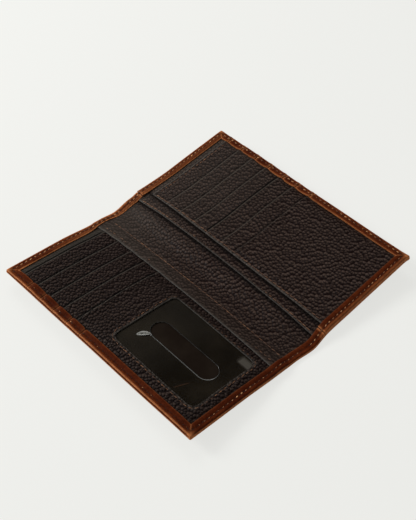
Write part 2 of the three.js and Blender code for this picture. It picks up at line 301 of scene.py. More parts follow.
# Shades of the clear film; the last two are painted highlights, on the rim of the slot and on the curl
FILM_CLEAN = rgb(0.0062, 0.0042, 0.002)
FILM_HAZY = rgb(0.016, 0.0118, 0.0068)
FILM_CLOUDED = rgb(0.065, 0.058, 0.047)
FILM_SCRATCHED = rgb(0.1, 0.045, 0.024)
FILM_RIM_HIGHLIGHT = rgb(0.2, 0.2, 0.19)
FILM_CURL_HIGHLIGHT = rgb(0.42, 0.42, 0.39)

# The scratch on the film, in metres
SCRATCH_START = (-0.0825, -0.0555)
SCRATCH_END = (-0.071, -0.06)
SCRATCH_WIDTH = 0.00035
SCRATCH_FADE_IN = 0.002
SCRATCH_FADE_OUT = 0.004


def cognac_leather():
    """Smooth waxed leather: mottled, lighter where it is bent or rubbed and with painted highlights and light
    from the floor, darker by the thread and with painted shade in grooves and pinches.
    """
    look = Look("cognac_leather")
    mottle = look.noise(110.0, detail=5.0, roughness=0.62)
    cloud = look.noise(26.0, detail=2.0, roughness=0.5)
    scuff = look.noise(650.0, detail=4.0, roughness=0.65)
    wear_and_light, pressed, darkened = (look.attribute(name) for name in ("wear_and_light", "pressed", "shade_and_darkening"))
    base = look.mix(mottle.between(0.32, 0.68), COGNAC_DARK, COGNAC_BROWN)
    base = look.mix(cloud.between(0.4, 0.7) * 0.5, base, COGNAC_WARM)
    # Darker on the left half, along the inner part of the hem, and on the outer face
    base = look.mix((darkened * (0.5 + cloud * 0.6)).clamped(), base, COGNAC_DARKENED)
    base = look.mix(scuff.between(0.44, 0.62) * 0.7, base, COGNAC_SCUFFED)
    # Lighter where rubbed, and where highlights and light from the floor are painted
    rubbed_and_lit = (wear_and_light * (0.1 + mottle * 0.9 + scuff * 0.7)).clamped()
    base = look.mix(rubbed_and_lit, base, COGNAC_RUBBED_AND_LIT)
    # Darker where pressed: the thread row and cracks, and painted shade in the rolled edge's groove and the
    # pinches
    base = look.mix(pressed * 0.75, base, COGNAC_PRESSED)
    pores = look.cells("F1", look.warped(500.0, 0.0006), 1300.0)
    creases = look.cells("DISTANCE_TO_EDGE", look.warped(90.0, 0.004), 260.0)
    grain = look.bump(pores, 0.2, 0.00012)
    normal = look.bump(creases.between(0.0, 0.12) + mottle * 0.6, 0.28, 0.0002, Normal=grain)
    rough = 0.4 + mottle * 0.22 + pressed * 0.2
    return look.finish(Base_Color=base, Roughness=rough, Normal=normal, Specular_IOR_Level=0.035)


def pebble_leather(name, dark, light, cell, depth, strength, rough, lit_towards=(0.0, 1.0)):
    """Dark leather with a pebbled grain: domed cells with painted shade in the dark creases between them,
    flattened where it is pressed. Each pebble is painted lighter on one side and darker on the other, as if
    lit; the lit side lies towards the slope given along and across the lay of the grain."""
    look = Look(name)
    along_grain = look.node(
        "ShaderNodeMapping", {"vector_type": "TEXTURE"}, Vector=look.warped(120.0, 0.0013),
        Rotation=(0.0, 0.0, GRAIN_LAY), Scale=(1.1, 1.2, 1.0),
    )
    step = LIT_STEP_SHARE * cell
    stepped = look.vector("ADD", along_grain, (step * lit_towards[0], step * lit_towards[1], 0.0))
    from_middle, from_next, from_crease = (
        look.cells(feature, place, 1.0 / cell, voronoi_dimensions="2D")
        for place, feature in ((along_grain, "F1"), (stepped, "F1"), (along_grain, "DISTANCE_TO_EDGE"))
    )
    fine = look.noise(2400.0, detail=2.0, roughness=0.5)
    cloud = look.noise(40.0)
    wear_and_light, pressed, shade_and_darkening = (look.attribute(name) for name in ("wear_and_light", "pressed", "shade_and_darkening"))
    dome = (1.0 - from_middle * from_middle * 2.4).clamped()
    # Painted shade: dark creases, and each pebble lighter on its lit side and darker on the other
    crease = 1.0 - from_crease.between(0.02, 0.16)
    painted_lit_side = from_next * from_next - from_middle * from_middle
    low = (0.64 - painted_lit_side * 3.0 + crease * 0.5).clamped()
    colour = look.mix(((1.0 - low) * (0.55 + cloud * 0.7)).clamped(), dark, light)
    colour = look.mix(pressed * 0.4, colour, PEBBLE_PRESSED)
    # Painted highlights and sheen along edges and towards the far end, and an even lightening
    colour = look.mix(wear_and_light * 0.8, colour, PEBBLE_LIT_AND_WORN)
    # Painted shade and shadows by mouths and free edges, and even darkening
    colour = look.mix(shade_and_darkening * 0.9, colour, PEBBLE_SHADED)
    tame = 1.0 - pressed * 0.7
    normal = look.bump((dome - crease * 0.2 + fine * 0.02) * tame, strength, depth)
    roughness = rough + fine * 0.08 + low * 0.12 + pressed * 0.06 + shade_and_darkening * 0.4
    return look.finish(Base_Color=colour, Roughness=roughness, Normal=normal, Specular_IOR_Level=0.09)


def raw_edge(name, dark, light, rough, cloud_shade=None):
    """Cut edge of leather: fibres that catch the light, clouded where the dye has gone in."""
    look = Look(name)
    fibre = look.noise(1500.0, detail=4.0, roughness=0.65)
    colour = look.mix(fibre.between(0.3, 0.7), dark, light)
    if cloud_shade:
        cloud = look.noise(120.0, detail=2.0, roughness=0.5)
        colour = look.mix(cloud.between(0.45, 0.7) * 0.6, colour, cloud_shade)
    return look.finish(Base_Color=colour, Roughness=rough + fibre * 0.2, Normal=look.bump(fibre, 0.3, 0.0001))


def thread(name, dark, light):
    """Twisted thread, darker and lighter by turns along a row."""
    look = Look(name)
    twist = look.noise(900.0, detail=2.0, roughness=0.5)
    shade = look.noise(130.0, detail=1.0, roughness=0.5)
    colour = look.mix((twist * 0.3 + shade * 2.2).between(0.85, 1.75), dark, light)
    return look.finish(Base_Color=colour, Roughness=0.55 + twist * 0.15, Normal=look.bump(twist, 0.4, 0.0001))


def needle_hole():
    look = Look("needle_hole")
    soot = look.noise(900.0, detail=2.0)
    colour = look.mix(soot, rgb(0.008, 0.003, 0.002), rgb(0.02, 0.007, 0.003))
    return look.finish(Base_Color=colour, Roughness=0.9)


def scratch_mask(look):
    """Soft line on the surface from the start of the scratch to its end."""
    length = math.dist(SCRATCH_START, SCRATCH_END)
    along_x, along_y = ((b - a) / length for a, b in zip(SCRATCH_START, SCRATCH_END))
    axes = look.node("ShaderNodeSeparateXYZ", {}, look.place)
    x = axes - SCRATCH_START[0]
    y = Value(look, axes.socket.node.outputs["Y"]) - SCRATCH_START[1]
    beside = (x * along_y - y * along_x).math("ABSOLUTE")
    along = x * along_x + y * along_y
    line = 1.0 - beside.between(0.0, SCRATCH_WIDTH)
    faded_out = along.between(length - SCRATCH_FADE_OUT, length)
    return line * along.between(0.0, SCRATCH_FADE_IN) * (1.0 - faded_out)


def window_film():
    """Soft clear film, slightly hazy, with a waxy shine and one long scratch."""
    look = Look("window_film")
    haze = look.noise(38.0, detail=4.0, roughness=0.6)
    ripple = look.noise(90.0, detail=2.0, roughness=0.5)
    flaw = look.attribute("flaw")
    scratch = scratch_mask(look)
    colour = look.mix(haze.between(0.3, 0.72), FILM_CLEAN, FILM_HAZY)
    colour = look.mix(flaw, colour, FILM_CLOUDED)
    colour = look.mix(scratch * 0.5, colour, FILM_SCRATCHED)
    return look.finish(
        Base_Color=colour,
        Roughness=0.3 + haze * 0.18,
        Alpha=(0.5 + haze * 0.2 + flaw * 0.3 + scratch * 0.3).clamped(),
        Normal=look.bump(ripple, 0.12, 0.0006),
        Specular_IOR_Level=0.1,
    )


def film_rim():
    """Heat-cut rim of the film: thicker and shiny, with a painted highlight where its attribute is set."""
    look = Look("film_rim")
    haze = look.noise(160.0, detail=2.0)
    painted_glint = look.attribute("wear_and_light")
    colour = look.mix(haze, rgb(0.012, 0.012, 0.01), rgb(0.035, 0.034, 0.03))
    colour = look.mix(painted_glint, colour, FILM_RIM_HIGHLIGHT)
    return look.finish(
        Base_Color=colour, Roughness=0.22 + haze * 0.1, Alpha=(0.4 + haze * 0.2 + painted_glint * 0.5).clamped()
    )


def film_flaw():
    """Stretched curl of film, painted pale as a reflection, and paler round its border as a painted
    highlight.
    """
    look = Look("film_flaw")
    haze = look.noise(700.0)
    inside = look.mix(haze.between(0.35, 0.65), rgb(0.04, 0.04, 0.035), rgb(0.17, 0.17, 0.15))
    colour = look.mix(look.attribute("wear_and_light"), inside, FILM_CURL_HIGHLIGHT)
    return look.finish(Base_Color=colour, Roughness=0.3 + haze * 0.2)


def id_sheet_finish():
    look = Look("id_sheet")
    haze = look.noise(60.0)
    fine = look.noise(1800.0, detail=2.0)
    colour = look.mix(haze.between(0.3, 0.7), rgb(0.0085, 0.005, 0.003), rgb(0.0135, 0.009, 0.0058))
    normal = look.bump(fine, 0.15, 0.0001)
    return look.finish(Base_Color=colour, Roughness=0.6 + fine * 0.2, Normal=normal, Specular_IOR_Level=0.05)


COGNAC = cognac_leather()
COGNAC_EDGE = raw_edge(
    "cognac_edge", rgb(0.2, 0.055, 0.012), rgb(0.48, 0.155, 0.036), 0.6, cloud_shade=rgb(0.11, 0.026, 0.007)
)
PEBBLE = pebble_leather(
    "pebble_leather", PEBBLE_CREASE, rgb(0.05, 0.0328, 0.0256),
    cell=0.0018, depth=0.0005, strength=1.0, rough=0.36,
)
PEBBLE_RIGHT = pebble_leather(
    "pebble_leather_right", PEBBLE_CREASE, rgb(0.056, 0.037, 0.029),
    cell=0.00195, depth=0.0004, strength=1.0, rough=0.36, lit_towards=(0.5, 1.0),
)
FINE_PEBBLE = pebble_leather(
    "fine_pebble_leather", rgb(0.022, 0.0182, 0.0143), rgb(0.046, 0.0385, 0.031),
    cell=0.0013, depth=0.0002, strength=0.5, rough=0.5,
)
CUT_EDGE = raw_edge("cut_edge", rgb(0.032, 0.03, 0.027), rgb(0.095, 0.09, 0.08), 0.62)
HEM_THREAD = thread("hem_thread", rgb(0.12, 0.04, 0.012), rgb(0.55, 0.27, 0.11))
PANEL_THREAD = thread("panel_thread", rgb(0.075, 0.027, 0.009), rgb(0.235, 0.102, 0.04))
NEEDLE_HOLE = needle_hole()
WINDOW_FILM = window_film()
FILM_RIM = film_rim()
FILM_FLAW = film_flaw()
ID_SHEET = id_sheet_finish()

# Lay-up: the plan is a grid of heights, and each sheet is laid over what is already there.
GRID_PITCH = 0.5
PLAN_X = np.arange(-OUTER_X, OUTER_X + GRID_PITCH, GRID_PITCH)
PLAN_Y = np.arange(-END_Y, END_Y + GRID_PITCH, GRID_PITCH)
GRID_X, GRID_Y = np.meshgrid(PLAN_X, PLAN_Y, indexing="ij")
LAST_CELL = 1.001


def smoothstep(x, low, high):
    t = np.clip((np.asarray(x, float) - low) / (high - low), 0.0, 1.0)
    return t * t * (3.0 - 2.0 * t)


def band(x, rise_at, fall_at):
    """1 in a band with soft edges. Each edge is given by the two places where it begins and ends."""
    return smoothstep(x, *rise_at) * (1 - smoothstep(x, *fall_at))


def near_line(distance, width):
    return np.exp(-(np.asarray(distance) / width) ** 2)


def arch(y):
    """1 in the middle of the wallet's length and 0 at its two ends."""
    return 1 - (y / END_Y) ** 2


def blurred(heights, sigma):
    reach = int(math.ceil(3 * sigma / GRID_PITCH))
    offsets = np.arange(-reach, reach + 1)
    weights = np.exp(-0.5 * (offsets * GRID_PITCH / sigma) ** 2)
    weights /= weights.sum()
    for axis in (0, 1):
        padded = np.pad(heights, [(reach, reach) if a == axis else (0, 0) for a in (0, 1)], mode="edge")
        count = heights.shape[axis]
        heights = sum(w * np.take(padded, np.arange(k, k + count), axis=axis) for k, w in enumerate(weights))
    return heights


def draped(stack, rounds=5, sigma=1.2, last_sigma=0.5):
    """Underside of a sheet that rests on the stack and bridges its steps in soft slopes."""
    sheet = stack
    for _ in range(rounds):
        sheet = np.maximum(stack, blurred(sheet, sigma))
    return blurred(sheet, last_sigma)


def sampled(heights, x, y):
    """Bilinear reading of a height grid."""
    u = np.clip((np.asarray(x, float) - PLAN_X[0]) / GRID_PITCH, 0, len(PLAN_X) - LAST_CELL)
    v = np.clip((np.asarray(y, float) - PLAN_Y[0]) / GRID_PITCH, 0, len(PLAN_Y) - LAST_CELL)
    i, j = u.astype(int), v.astype(int)
    a, b = u - i, v - j
    near = heights[i, j] * (1 - b) + heights[i, j + 1] * b
    far = heights[i + 1, j] * (1 - b) + heights[i + 1, j + 1] * b
    return near * (1 - a) + far * a


def inside(areas, x, y):
    """True in any of the areas, each given as x0, x1, y0 and y1."""
    return np.any([(x >= x0) & (x <= x1) & (y >= y0) & (y <= y1) for x0, x1, y0, y1 in areas], axis=0)


def clear_of_hem(y, reach):
    """1 along the free middle of an edge, falling to 0 over the reach before each end hem."""
    return 1 - smoothstep(np.abs(y), HEM_INNER_Y - reach, HEM_INNER_Y + HEM_MARGIN)


def mouth_lift(mouth, reach, amount, spread=5.0):
    """The mouth of a pocket gapes: highest at its middle, held down at its two ends."""
    def lift(x, y):
        across = np.clip((x - reach[0]) / (reach[1] - reach[0]), 0, 1)
        lens = np.clip(4 * across * (1 - across), 0, 1) ** 0.7
        return amount * lens * np.exp(-np.maximum(mouth - y, 0) / spread)
    return lift


def edge_lift(edge, amount, spread=5.0, held_share=0.25):
    """The long free edge of a panel stands off what is under it, between the two hems."""
    def lift(x, y):
        free = held_share + (1 - held_share) * clear_of_hem(y, 22)
        return amount * free * np.exp(-np.maximum(x - edge, 0) / spread)
    return lift


def panel_lift(x, y):
    """The centre panel stands up at its strip edge, and bulges where it leaves the valley of the spine."""
    bulge = 1.3 * clear_of_hem(y, 26) * band(x, (-5, 7), (13, 42))
    return edge_lift(STRIP_EDGE_X, 0.35, 3.0)(x, y) * (x < 0) + bulge


class Sheet:
    """One sheet of the lay-up: its areas in plan, its thickness, and how its free edge stands up."""

    def __init__(self, areas, thickness, lift=None, mouth=None, next_mouth=None, tail=None):
        self.areas, self.thickness, self.lift = areas, thickness, lift
        self.mouth, self.next_mouth, self.tail = mouth, next_mouth, tail
        self.under = None

    def share(self, y):
        """Share of the full thickness: the hidden tail of a leaf is skived thin."""
        if not self.tail:
            return np.ones(np.shape(y))
        behind = smoothstep(self.mouth - y, POCKET_PITCH - 1, POCKET_PITCH + TAB_OVERLAP)
        return 1 - behind * (1 - self.tail / self.thickness)

    def lay(self, stack):
        self.under = draped(stack) + LAY_GAP
        if self.lift:
            self.under = self.under + self.lift(GRID_X, GRID_Y)
        laid = self.under + self.thickness * self.share(GRID_Y)
        return np.where(inside(self.areas, GRID_X, GRID_Y), laid, stack)

    def top(self, x, y):
        return sampled(self.under, x, y) + self.thickness


def full_length(x0, x1, y1=LAYER_END_Y):
    """Area of a sheet that starts under the near hem."""
    return [(x0, x1, -LAYER_END_Y, y1)]


def card_leaves(mouths, last_mouth, tab, body, reach, gapes):
    """T-shaped leaves: a wide tab at the mouth, and a narrower body that hangs behind the next leaves."""
    tab_depth = POCKET_PITCH + TAB_OVERLAP
    return [
        Sheet(
            [(*tab, mouth - tab_depth, mouth), (*body, mouth - LEAF_DEPTH, mouth)], LEAF_THICKNESS,
            mouth_lift(mouth, reach, gape), mouth, next_mouth, LEAF_TAIL_THICKNESS,
        )
        for mouth, next_mouth, gape in zip(mouths, [*mouths[1:], last_mouth], gapes)
    ]


LEFT_REACH = (-HEM_INNER_X, STRIP_EDGE_X)
RIGHT_REACH = (CARD_BACKING_X, HEM_INNER_X)

left_backing = Sheet(
    full_length(-LAYER_OUTER_X, LEFT_INNER_X), BACKING_THICKNESS, next_mouth=LEFT_MOUTHS[0]
)
left_leaves = card_leaves(
    LEFT_MOUTHS, WINDOW_MOUTH, (-LAYER_OUTER_X, LEFT_INNER_X),
    (-(HEM_INNER_X - DRAPE), STRIP_EDGE_X - DRAPE), LEFT_REACH, LEFT_GAPES,
)
id_sheet = Sheet([ID_POCKET], ID_SHEET_THICKNESS)
film = Sheet([ID_POCKET], FILM_THICKNESS)
window_panel = Sheet(
    full_length(-LAYER_OUTER_X, LEFT_INNER_X, WINDOW_MOUTH), PANEL_THICKNESS,
    mouth_lift(WINDOW_MOUTH, LEFT_REACH, 0.4), WINDOW_MOUTH,
)
centre_panel = Sheet(full_length(STRIP_EDGE_X, LAYER_OUTER_X), PANEL_THICKNESS, panel_lift)
divider = Sheet(full_length(DIVIDER_X, LAYER_OUTER_X), PANEL_THICKNESS, edge_lift(DIVIDER_X, 0.7, 3.5))
card_backing = Sheet(
    full_length(CARD_BACKING_X, LAYER_OUTER_X, CARD_BACKING_TOP), BACKING_THICKNESS,
    edge_lift(CARD_BACKING_X, 0.6, 2.5), CARD_BACKING_TOP, RIGHT_MOUTHS[0],
)
right_leaves = card_leaves(
    RIGHT_MOUTHS, SLIP_MOUTH, (CARD_BACKING_X, LAYER_OUTER_X),
    (CARD_BACKING_X + DRAPE, HEM_INNER_X - DRAPE), RIGHT_REACH, RIGHT_GAPES,
)
slip_panel = Sheet(
    full_length(CARD_BACKING_X, LAYER_OUTER_X, SLIP_MOUTH), PANEL_THICKNESS,
    mouth_lift(SLIP_MOUTH, RIGHT_REACH, 0.1), SLIP_MOUTH,
)


def lay_up(sheets):
    stack = np.full(GRID_X.shape, COVER_THICKNESS)
    for sheet in sheets:
        stack = sheet.lay(stack)
    return stack


STACK = lay_up([
    left_backing, *left_leaves, id_sheet, film, window_panel, centre_panel,
    divider, card_backing, *right_leaves, slip_panel,
])
HEM_TOP = draped(STACK, rounds=6, sigma=1.3) + LAY_GAP + HEM_THICKNESS

# The cover's cross-section is bent about the two creases, and every piece is bent with it.
FOLD_STEP = 0.05
FOLD_OVERRUN = 5
FOLD_X = np.arange(-OUTER_X - FOLD_OVERRUN, OUTER_X + FOLD_OVERRUN, FOLD_STEP)
FOLD_ANGLE = (
    RIGHT_TILT * smoothstep(FOLD_X, CREASE_X - BEND_EASE, CREASE_X + BEND_EASE)
    - LEFT_TILT * (1 - smoothstep(FOLD_X, -CREASE_X - BEND_EASE, -CREASE_X + BEND_EASE))
)
FOLD_OUT, FOLD_UP = (
    np.concatenate([[0], np.cumsum(step * FOLD_STEP)])
    for step in (np.cos(FOLD_ANGLE[:-1]), np.sin(FOLD_ANGLE[:-1]))
)
FOLD_OUT -= np.interp(0.0, FOLD_X, FOLD_OUT)
FOLD_UP -= np.interp(0.0, FOLD_X, FOLD_UP)


def rise(x, y):
    """How far the leather is off its flat lie: it is full beside the valley and sags left of it."""
    beside = (0.25 + 1.55 * smoothstep(y, -70, 40)) * band(x, (-4, 7), (16, 48))
    sag = -(0.9 + 0.5 * smoothstep(y, 0, 80)) * band(-x, (6, 17), (26, 56))
    right_side = -1.1 * smoothstep(x, 55, 95) * arch(y)
    waves = 0.16 * np.sin(x * 0.11 + 1.3) * np.sin(y * 0.07 + 0.4) + 0.12 * np.sin(x * 0.05 - y * 0.09)
    lift = beside + sag + right_side + smoothstep(np.abs(x), 12, 40) * waves
    return np.maximum(lift, -np.interp(x, FOLD_X, FOLD_UP))


def sway(x, y):
    """The leather by the spine has crept towards the near end."""
    far = (1 + y / END_Y) / 2
    return -1.7 * (1 - far) * near_line(x - 5, 10) - 0.9 * far * near_line(x + 9, 6)


def folded(points):
    """Plan points (x, y, height) in millimetres to their place on the open wallet, in metres."""
    x, y, height = points.T
    angle = np.interp(x, FOLD_X, FOLD_ANGLE)
    above = height + rise(x, y) - COVER_THICKNESS
    out = np.interp(x, FOLD_X, FOLD_OUT) - above * np.sin(angle)
    up = COVER_THICKNESS + np.interp(x, FOLD_X, FOLD_UP) + above * np.cos(angle)
    return np.stack([out, y + sway(x, y), up], axis=1) * MM


# Mesh tools
def set_mode(mode):
    bpy.ops.object.mode_set(mode=mode)


def deselect():
    if bpy.context.object and bpy.context.object.mode != "OBJECT":
        set_mode("OBJECT")
    bpy.ops.object.select_all(action="DESELECT")


def take_up(piece):
    """Selects the piece alone."""
    deselect()
    piece.select_set(True)
    bpy.context.view_layer.objects.active = piece


def added_piece(name):
    """The piece that was just added or joined, under its name."""
    piece = bpy.context.object
    piece.name = piece.data.name = name
    return piece


def points_of(piece):
    points = np.empty(len(piece.data.vertices) * 3)
    piece.data.vertices.foreach_get("co", points)
    return points.reshape(-1, 3)


def set_points(piece, points):
    piece.data.vertices.foreach_set("co", np.asarray(points, float).ravel())
    piece.data.update()


def apply_all(piece):
    take_up(piece)
    for modifier in list(piece.modifiers):
        bpy.ops.object.modifier_apply(modifier=modifier.name)


def delete_faces(piece, test):
    """Deletes the faces whose middle passes the test."""
    take_up(piece)
    set_mode("EDIT")
    bpy.ops.mesh.select_mode(type="FACE")
    bpy.ops.mesh.select_all(action="DESELECT")
    set_mode("OBJECT")
    middles = np.empty(len(piece.data.polygons) * 3)
    piece.data.polygons.foreach_get("center", middles)
    piece.data.polygons.foreach_set("select", test(*middles.reshape(-1, 3).T))
    set_mode("EDIT")
    bpy.ops.mesh.delete(type="FACE")
    set_mode("OBJECT")


def plan_grid(name, xs, ys):
    """Grid primitive, stretched to the stations xs and ys of the plan."""
    deselect()
    bpy.ops.mesh.primitive_grid_add(x_subdivisions=len(xs) - 1, y_subdivisions=len(ys) - 1, size=2)
    piece = added_piece(name)
    points = points_of(piece)
    column = np.rint((points[:, 0] + 1) / 2 * (len(xs) - 1)).astype(int)
    row = np.rint((points[:, 1] + 1) / 2 * (len(ys) - 1)).astype(int)
    set_points(piece, np.stack([np.asarray(xs)[column], np.asarray(ys)[row], np.zeros(len(points))], axis=1))
    return piece


def stations(low, high, step, marks=(), clearance=0.2):
    """Even stations from low to high, with a station on each mark."""
    stops = sorted({low, high, *[m for m in marks if low + clearance < m < high - clearance]})
    values = []
    for a, b in zip(stops, stops[1:]):
        count = max(1, int(round((b - a) / step)))
        values.extend(np.linspace(a, b, count + 1)[:-1])
    return np.array([*values, high])


def give(piece, attribute, values):
    layer = piece.data.attributes.new(attribute, "FLOAT", "POINT")
    layer.data.foreach_set("value", np.asarray(values, np.float32))


def smooth(piece, degrees=38):
    take_up(piece)
    bpy.ops.object.shade_smooth_by_angle(angle=math.radians(degrees), keep_sharp_edges=False)


def dress(piece, *materials):
    for material in materials:
        piece.data.materials.append(material)


def thicken(piece, thickness, offset=1.0, share=None):
    """Gives the sheet its wall, with the cut edges in the second material."""
    wall = piece.modifiers.new("wall", "SOLIDIFY")
    if share is not None:
        group = piece.vertex_groups.new(name="share")
        for index, weight in enumerate(share):
            group.add([index], float(weight), "REPLACE")
        wall.vertex_group = "share"
    wall.thickness, wall.offset = thickness, offset
    wall.use_even_offset = False
    wall.material_offset_rim = 1
    apply_all(piece)


def soften(piece, width):
    round_off = piece.modifiers.new("round", "BEVEL")
    round_off.width, round_off.segments = width, 2
    round_off.limit_method = "ANGLE"
    round_off.angle_limit = math.radians(55)
    apply_all(piece)


def fold_in_place(piece):
    set_points(piece, folded(points_of(piece)))
    smooth(piece)


def finish_sheet(piece, wear_and_light=None, pressed=None, shade_and_darkening=None):
    """Attributes from the plan, then the fold. Each is a function of x, y and height."""
    x, y, height = points_of(piece).T
    for name, amount in (("shade_and_darkening", shade_and_darkening), ("wear_and_light", wear_and_light), ("pressed", pressed)):
        give(piece, name, amount(x, y, height) if amount else np.zeros(len(x)))
    fold_in_place(piece)


def stand_in(piece, body, node):
    """The piece moves with the body and stands for the CAD node, which is hidden."""
    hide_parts(node)
    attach(piece, body)


# Stations before a mouth, and across the crease that the mouth of the next leaf presses into this one
MOUTH_STATIONS = (-0.4, -0.8)
CREASE_STATIONS = (-0.4, 0.2, 0.8, 1.3, 1.75, 2.3)
CREASE_DEPTH = 0.2


def sheet_piece(name, sheet, step=1.2, marks=(), bow=None, hide=PEBBLE, edge=CUT_EDGE):
    """Grid over the sheet's areas at the heights of the lay-up, cut to shape and walled."""
    x0s, x1s, y0s, y1s = zip(*sheet.areas)
    along = [*y0s, *y1s]
    if sheet.mouth:
        along.extend(sheet.mouth + offset for offset in MOUTH_STATIONS)
    if sheet.next_mouth:
        along.extend(sheet.next_mouth + offset for offset in CREASE_STATIONS)
    xs = stations(min(x0s), max(x1s), step, [*x0s, *x1s, *marks])
    piece = plan_grid(name, xs, stations(min(y0s), max(y1s), step, along))
    if len(sheet.areas) > 1:
        delete_faces(piece, lambda x, y, height: ~inside(sheet.areas, x, y))
    x, y, _ = points_of(piece).T
    height = sampled(sheet.under, x, y)
    if sheet.next_mouth:
        height -= CREASE_DEPTH * near_line(y - sheet.next_mouth - 1.0, 0.55)
    if bow:
        x = x + bow(x, y)
    set_points(piece, np.stack([x, y, height], axis=1))
    dress(piece, hide, edge)
    thicken(piece, sheet.thickness, share=sheet.share(y) if sheet.tail else None)
    return piece


# Cover: the outer face is a grid, whose border is extruded round the edge and over the lay-up as the hem.
CORNER_ZONE = 8.0
COVER_STEP = 1.3
CORNER_STEP = 0.66
ROLL_ANGLES = (-62, -38, -20, -6, 8, 24, 42, 64, 90)
HEM_INSETS = (1.9, 2.4, 2.8, 3.1, 3.4, 3.8, 4.4, 5.0, 5.6, 6.1, HEM_WIDTH)
PINCH_STATIONS = (-1.4, -0.7, 0, 0.7, 1.4)
PINCH_FROM = 4.2
PINCH_DRAW = 0.45
WAIST_FROM = 3.4
CORNER_DRAW = 0.7
CORNER_DRAW_SPREAD = 2.6
CORNER_TIGHTENING = 0.25
LEAST_CORNER_RADIUS = 0.25
NEAR_WALL_DEPTH = 1.6
UNDERSIDE_ROLL = 0.15
SEAM_ANGLE = 8
SEAM_SPREAD = 12
SEAM_SINK = 0.4
DRAPE_READ_INSET = 2.2
SAME_PLACE = 1e-3


def hem_inset(x, y):
    return np.minimum(OUTER_X - np.abs(x), END_Y - np.abs(y))


def on_far_hem(y):
    return y > HEM_INNER_Y - HEM_MARGIN


def on_near_hem(y):
    return on_far_hem(-y)


def on_near_wall(y):
    return y < -END_Y + NEAR_WALL_DEPTH


def pinch(x, y, width, offset=0.0):
    """1 where the hem is pinched in by a step of the pockets under it, on the two long sides."""
    left, right = (
        np.max([near_line(np.abs(y - at) - offset, width) for at in places], axis=0)
        for places in (LEFT_PINCHES, RIGHT_PINCHES)
    )
    return np.where(x < 0, left, right) * (np.abs(x) > HEM_INNER_X - HEM_MARGIN)


def far_waist(x, y):
    """The far hem is narrower where it crosses the end of the centre strip."""
    return 2.0 * near_line(x + 19, 13) * on_far_hem(y)


def past_slit(x, y):
    return x - np.where(y > 0, FAR_SLIT_X, NEAR_SLIT_X)


def stitch_wave(at):
    return np.cos(2 * math.pi * at / STITCH_PITCH)


def hem_height(x, y):
    """Top of the hem in plan: the drape, the groove under the thread, and the two tongues at each slit."""
    inset = hem_inset(x, y)
    limit_x, limit_y = OUTER_X - DRAPE_READ_INSET, END_Y - DRAPE_READ_INSET
    height = sampled(HEM_TOP, np.clip(x, -limit_x, limit_x), np.clip(y, -limit_y, limit_y))
    along = np.where(OUTER_X - np.abs(x) < END_Y - np.abs(y), y, x)
    groove = near_line(inset - THREAD_INSET, 0.75) * (0.2 + 0.12 * stitch_wave(along))
    puff = 0.12 * near_line(inset - 4.9, 1.0)
    past = past_slit(x, y)
    before = np.maximum(-past, 0)
    raised_tongue = np.where(y > 0, 1.2, 0.8) * np.exp(-np.maximum(past, 0) / 6.0)
    low_tongue = (0.5 * np.exp(-before / 1.2) - 0.3 * np.exp(-before / 5.0)) * (x > 0)
    tongue = np.where(past > 0, raised_tongue, low_tongue) * on_far_hem(np.abs(y))
    valley = -0.4 * near_line(x + 6.0, 6.0)
    waist = (0.18 * pinch(x, y, 0.6, 1.4) - 0.4 * pinch(x, y, 0.7)) * smoothstep(inset, 0.5, 2.0)
    skived = 0.45 * smoothstep(inset + far_waist(x, y), 5.0, 6.4) * on_far_hem(y)
    return height - groove + puff + tongue + valley + waist - skived


def outer_height(x, y):
    """Underside of the cover in plan: flat, with the same groove under the thread."""
    return 0.34 * near_line(hem_inset(x, y) - THREAD_INSET, 0.8)


def ring_place(x, y, inset):
    """Plan place of a border station at an inset from the outline, with round corners."""
    def squeezed(value, reach):
        size = np.abs(value)
        beyond = size - (reach - CORNER_ZONE)
        share = (CORNER_ZONE - inset) / (CORNER_ZONE - EDGE_ROLL)
        return np.sign(value) * np.where(beyond > 0, reach - CORNER_ZONE + beyond * share, size)

    on_end = np.abs(np.abs(y) - (END_Y - EDGE_ROLL)) < SAME_PLACE
    on_side = np.abs(np.abs(x) - (OUTER_X - EDGE_ROLL)) < SAME_PLACE
    px = np.where(on_side, np.sign(x) * (OUTER_X - inset), squeezed(x, OUTER_X))
    py = np.where(on_end, np.sign(y) * (END_Y - inset), squeezed(y, END_Y))
    radius = max(CORNER_RADIUS - CORNER_TIGHTENING * inset, LEAST_CORNER_RADIUS)
    cx, cy = OUTER_X - inset - radius, END_Y - inset - radius
    u, v = np.abs(px) - cx, np.abs(py) - cy
    corner = (u > 0) & (v > 0)
    from_end, from_side = np.clip(u, 0, radius) / radius, 2 - np.clip(v, 0, radius) / radius
    turn = np.where(on_end & (u <= v), from_end, from_side) * math.pi / 4
    px = np.where(corner, np.sign(px) * (cx + radius * np.sin(turn)), px)
    py = np.where(corner, np.sign(py) * (cy + radius * np.cos(turn)), py)
    return px, py


def drawn_corner(x, y):
    """The near right corner is pulled out to a point."""
    drawn = CORNER_DRAW * near_line(np.hypot(x - OUTER_X, y + END_Y), CORNER_DRAW_SPREAD)
    return x + drawn, y - drawn


def roll_row(x, y, degrees):
    """Border stations on the rolled edge, from under the cover at -90 degrees to the top of the hem at 90."""
    angle = math.radians(degrees)
    tight = UNDERSIDE_ROLL if degrees < 0 else 1.0
    seam = SEAM_SINK * near_line(degrees - SEAM_ANGLE, SEAM_SPREAD)
    inset = EDGE_ROLL * (1 - math.cos(angle)) * tight + seam
    px, py = drawn_corner(*ring_place(x, y, inset))
    return px, py, hem_height(*ring_place(x, y, EDGE_ROLL)) * (1 + math.sin(angle)) / 2


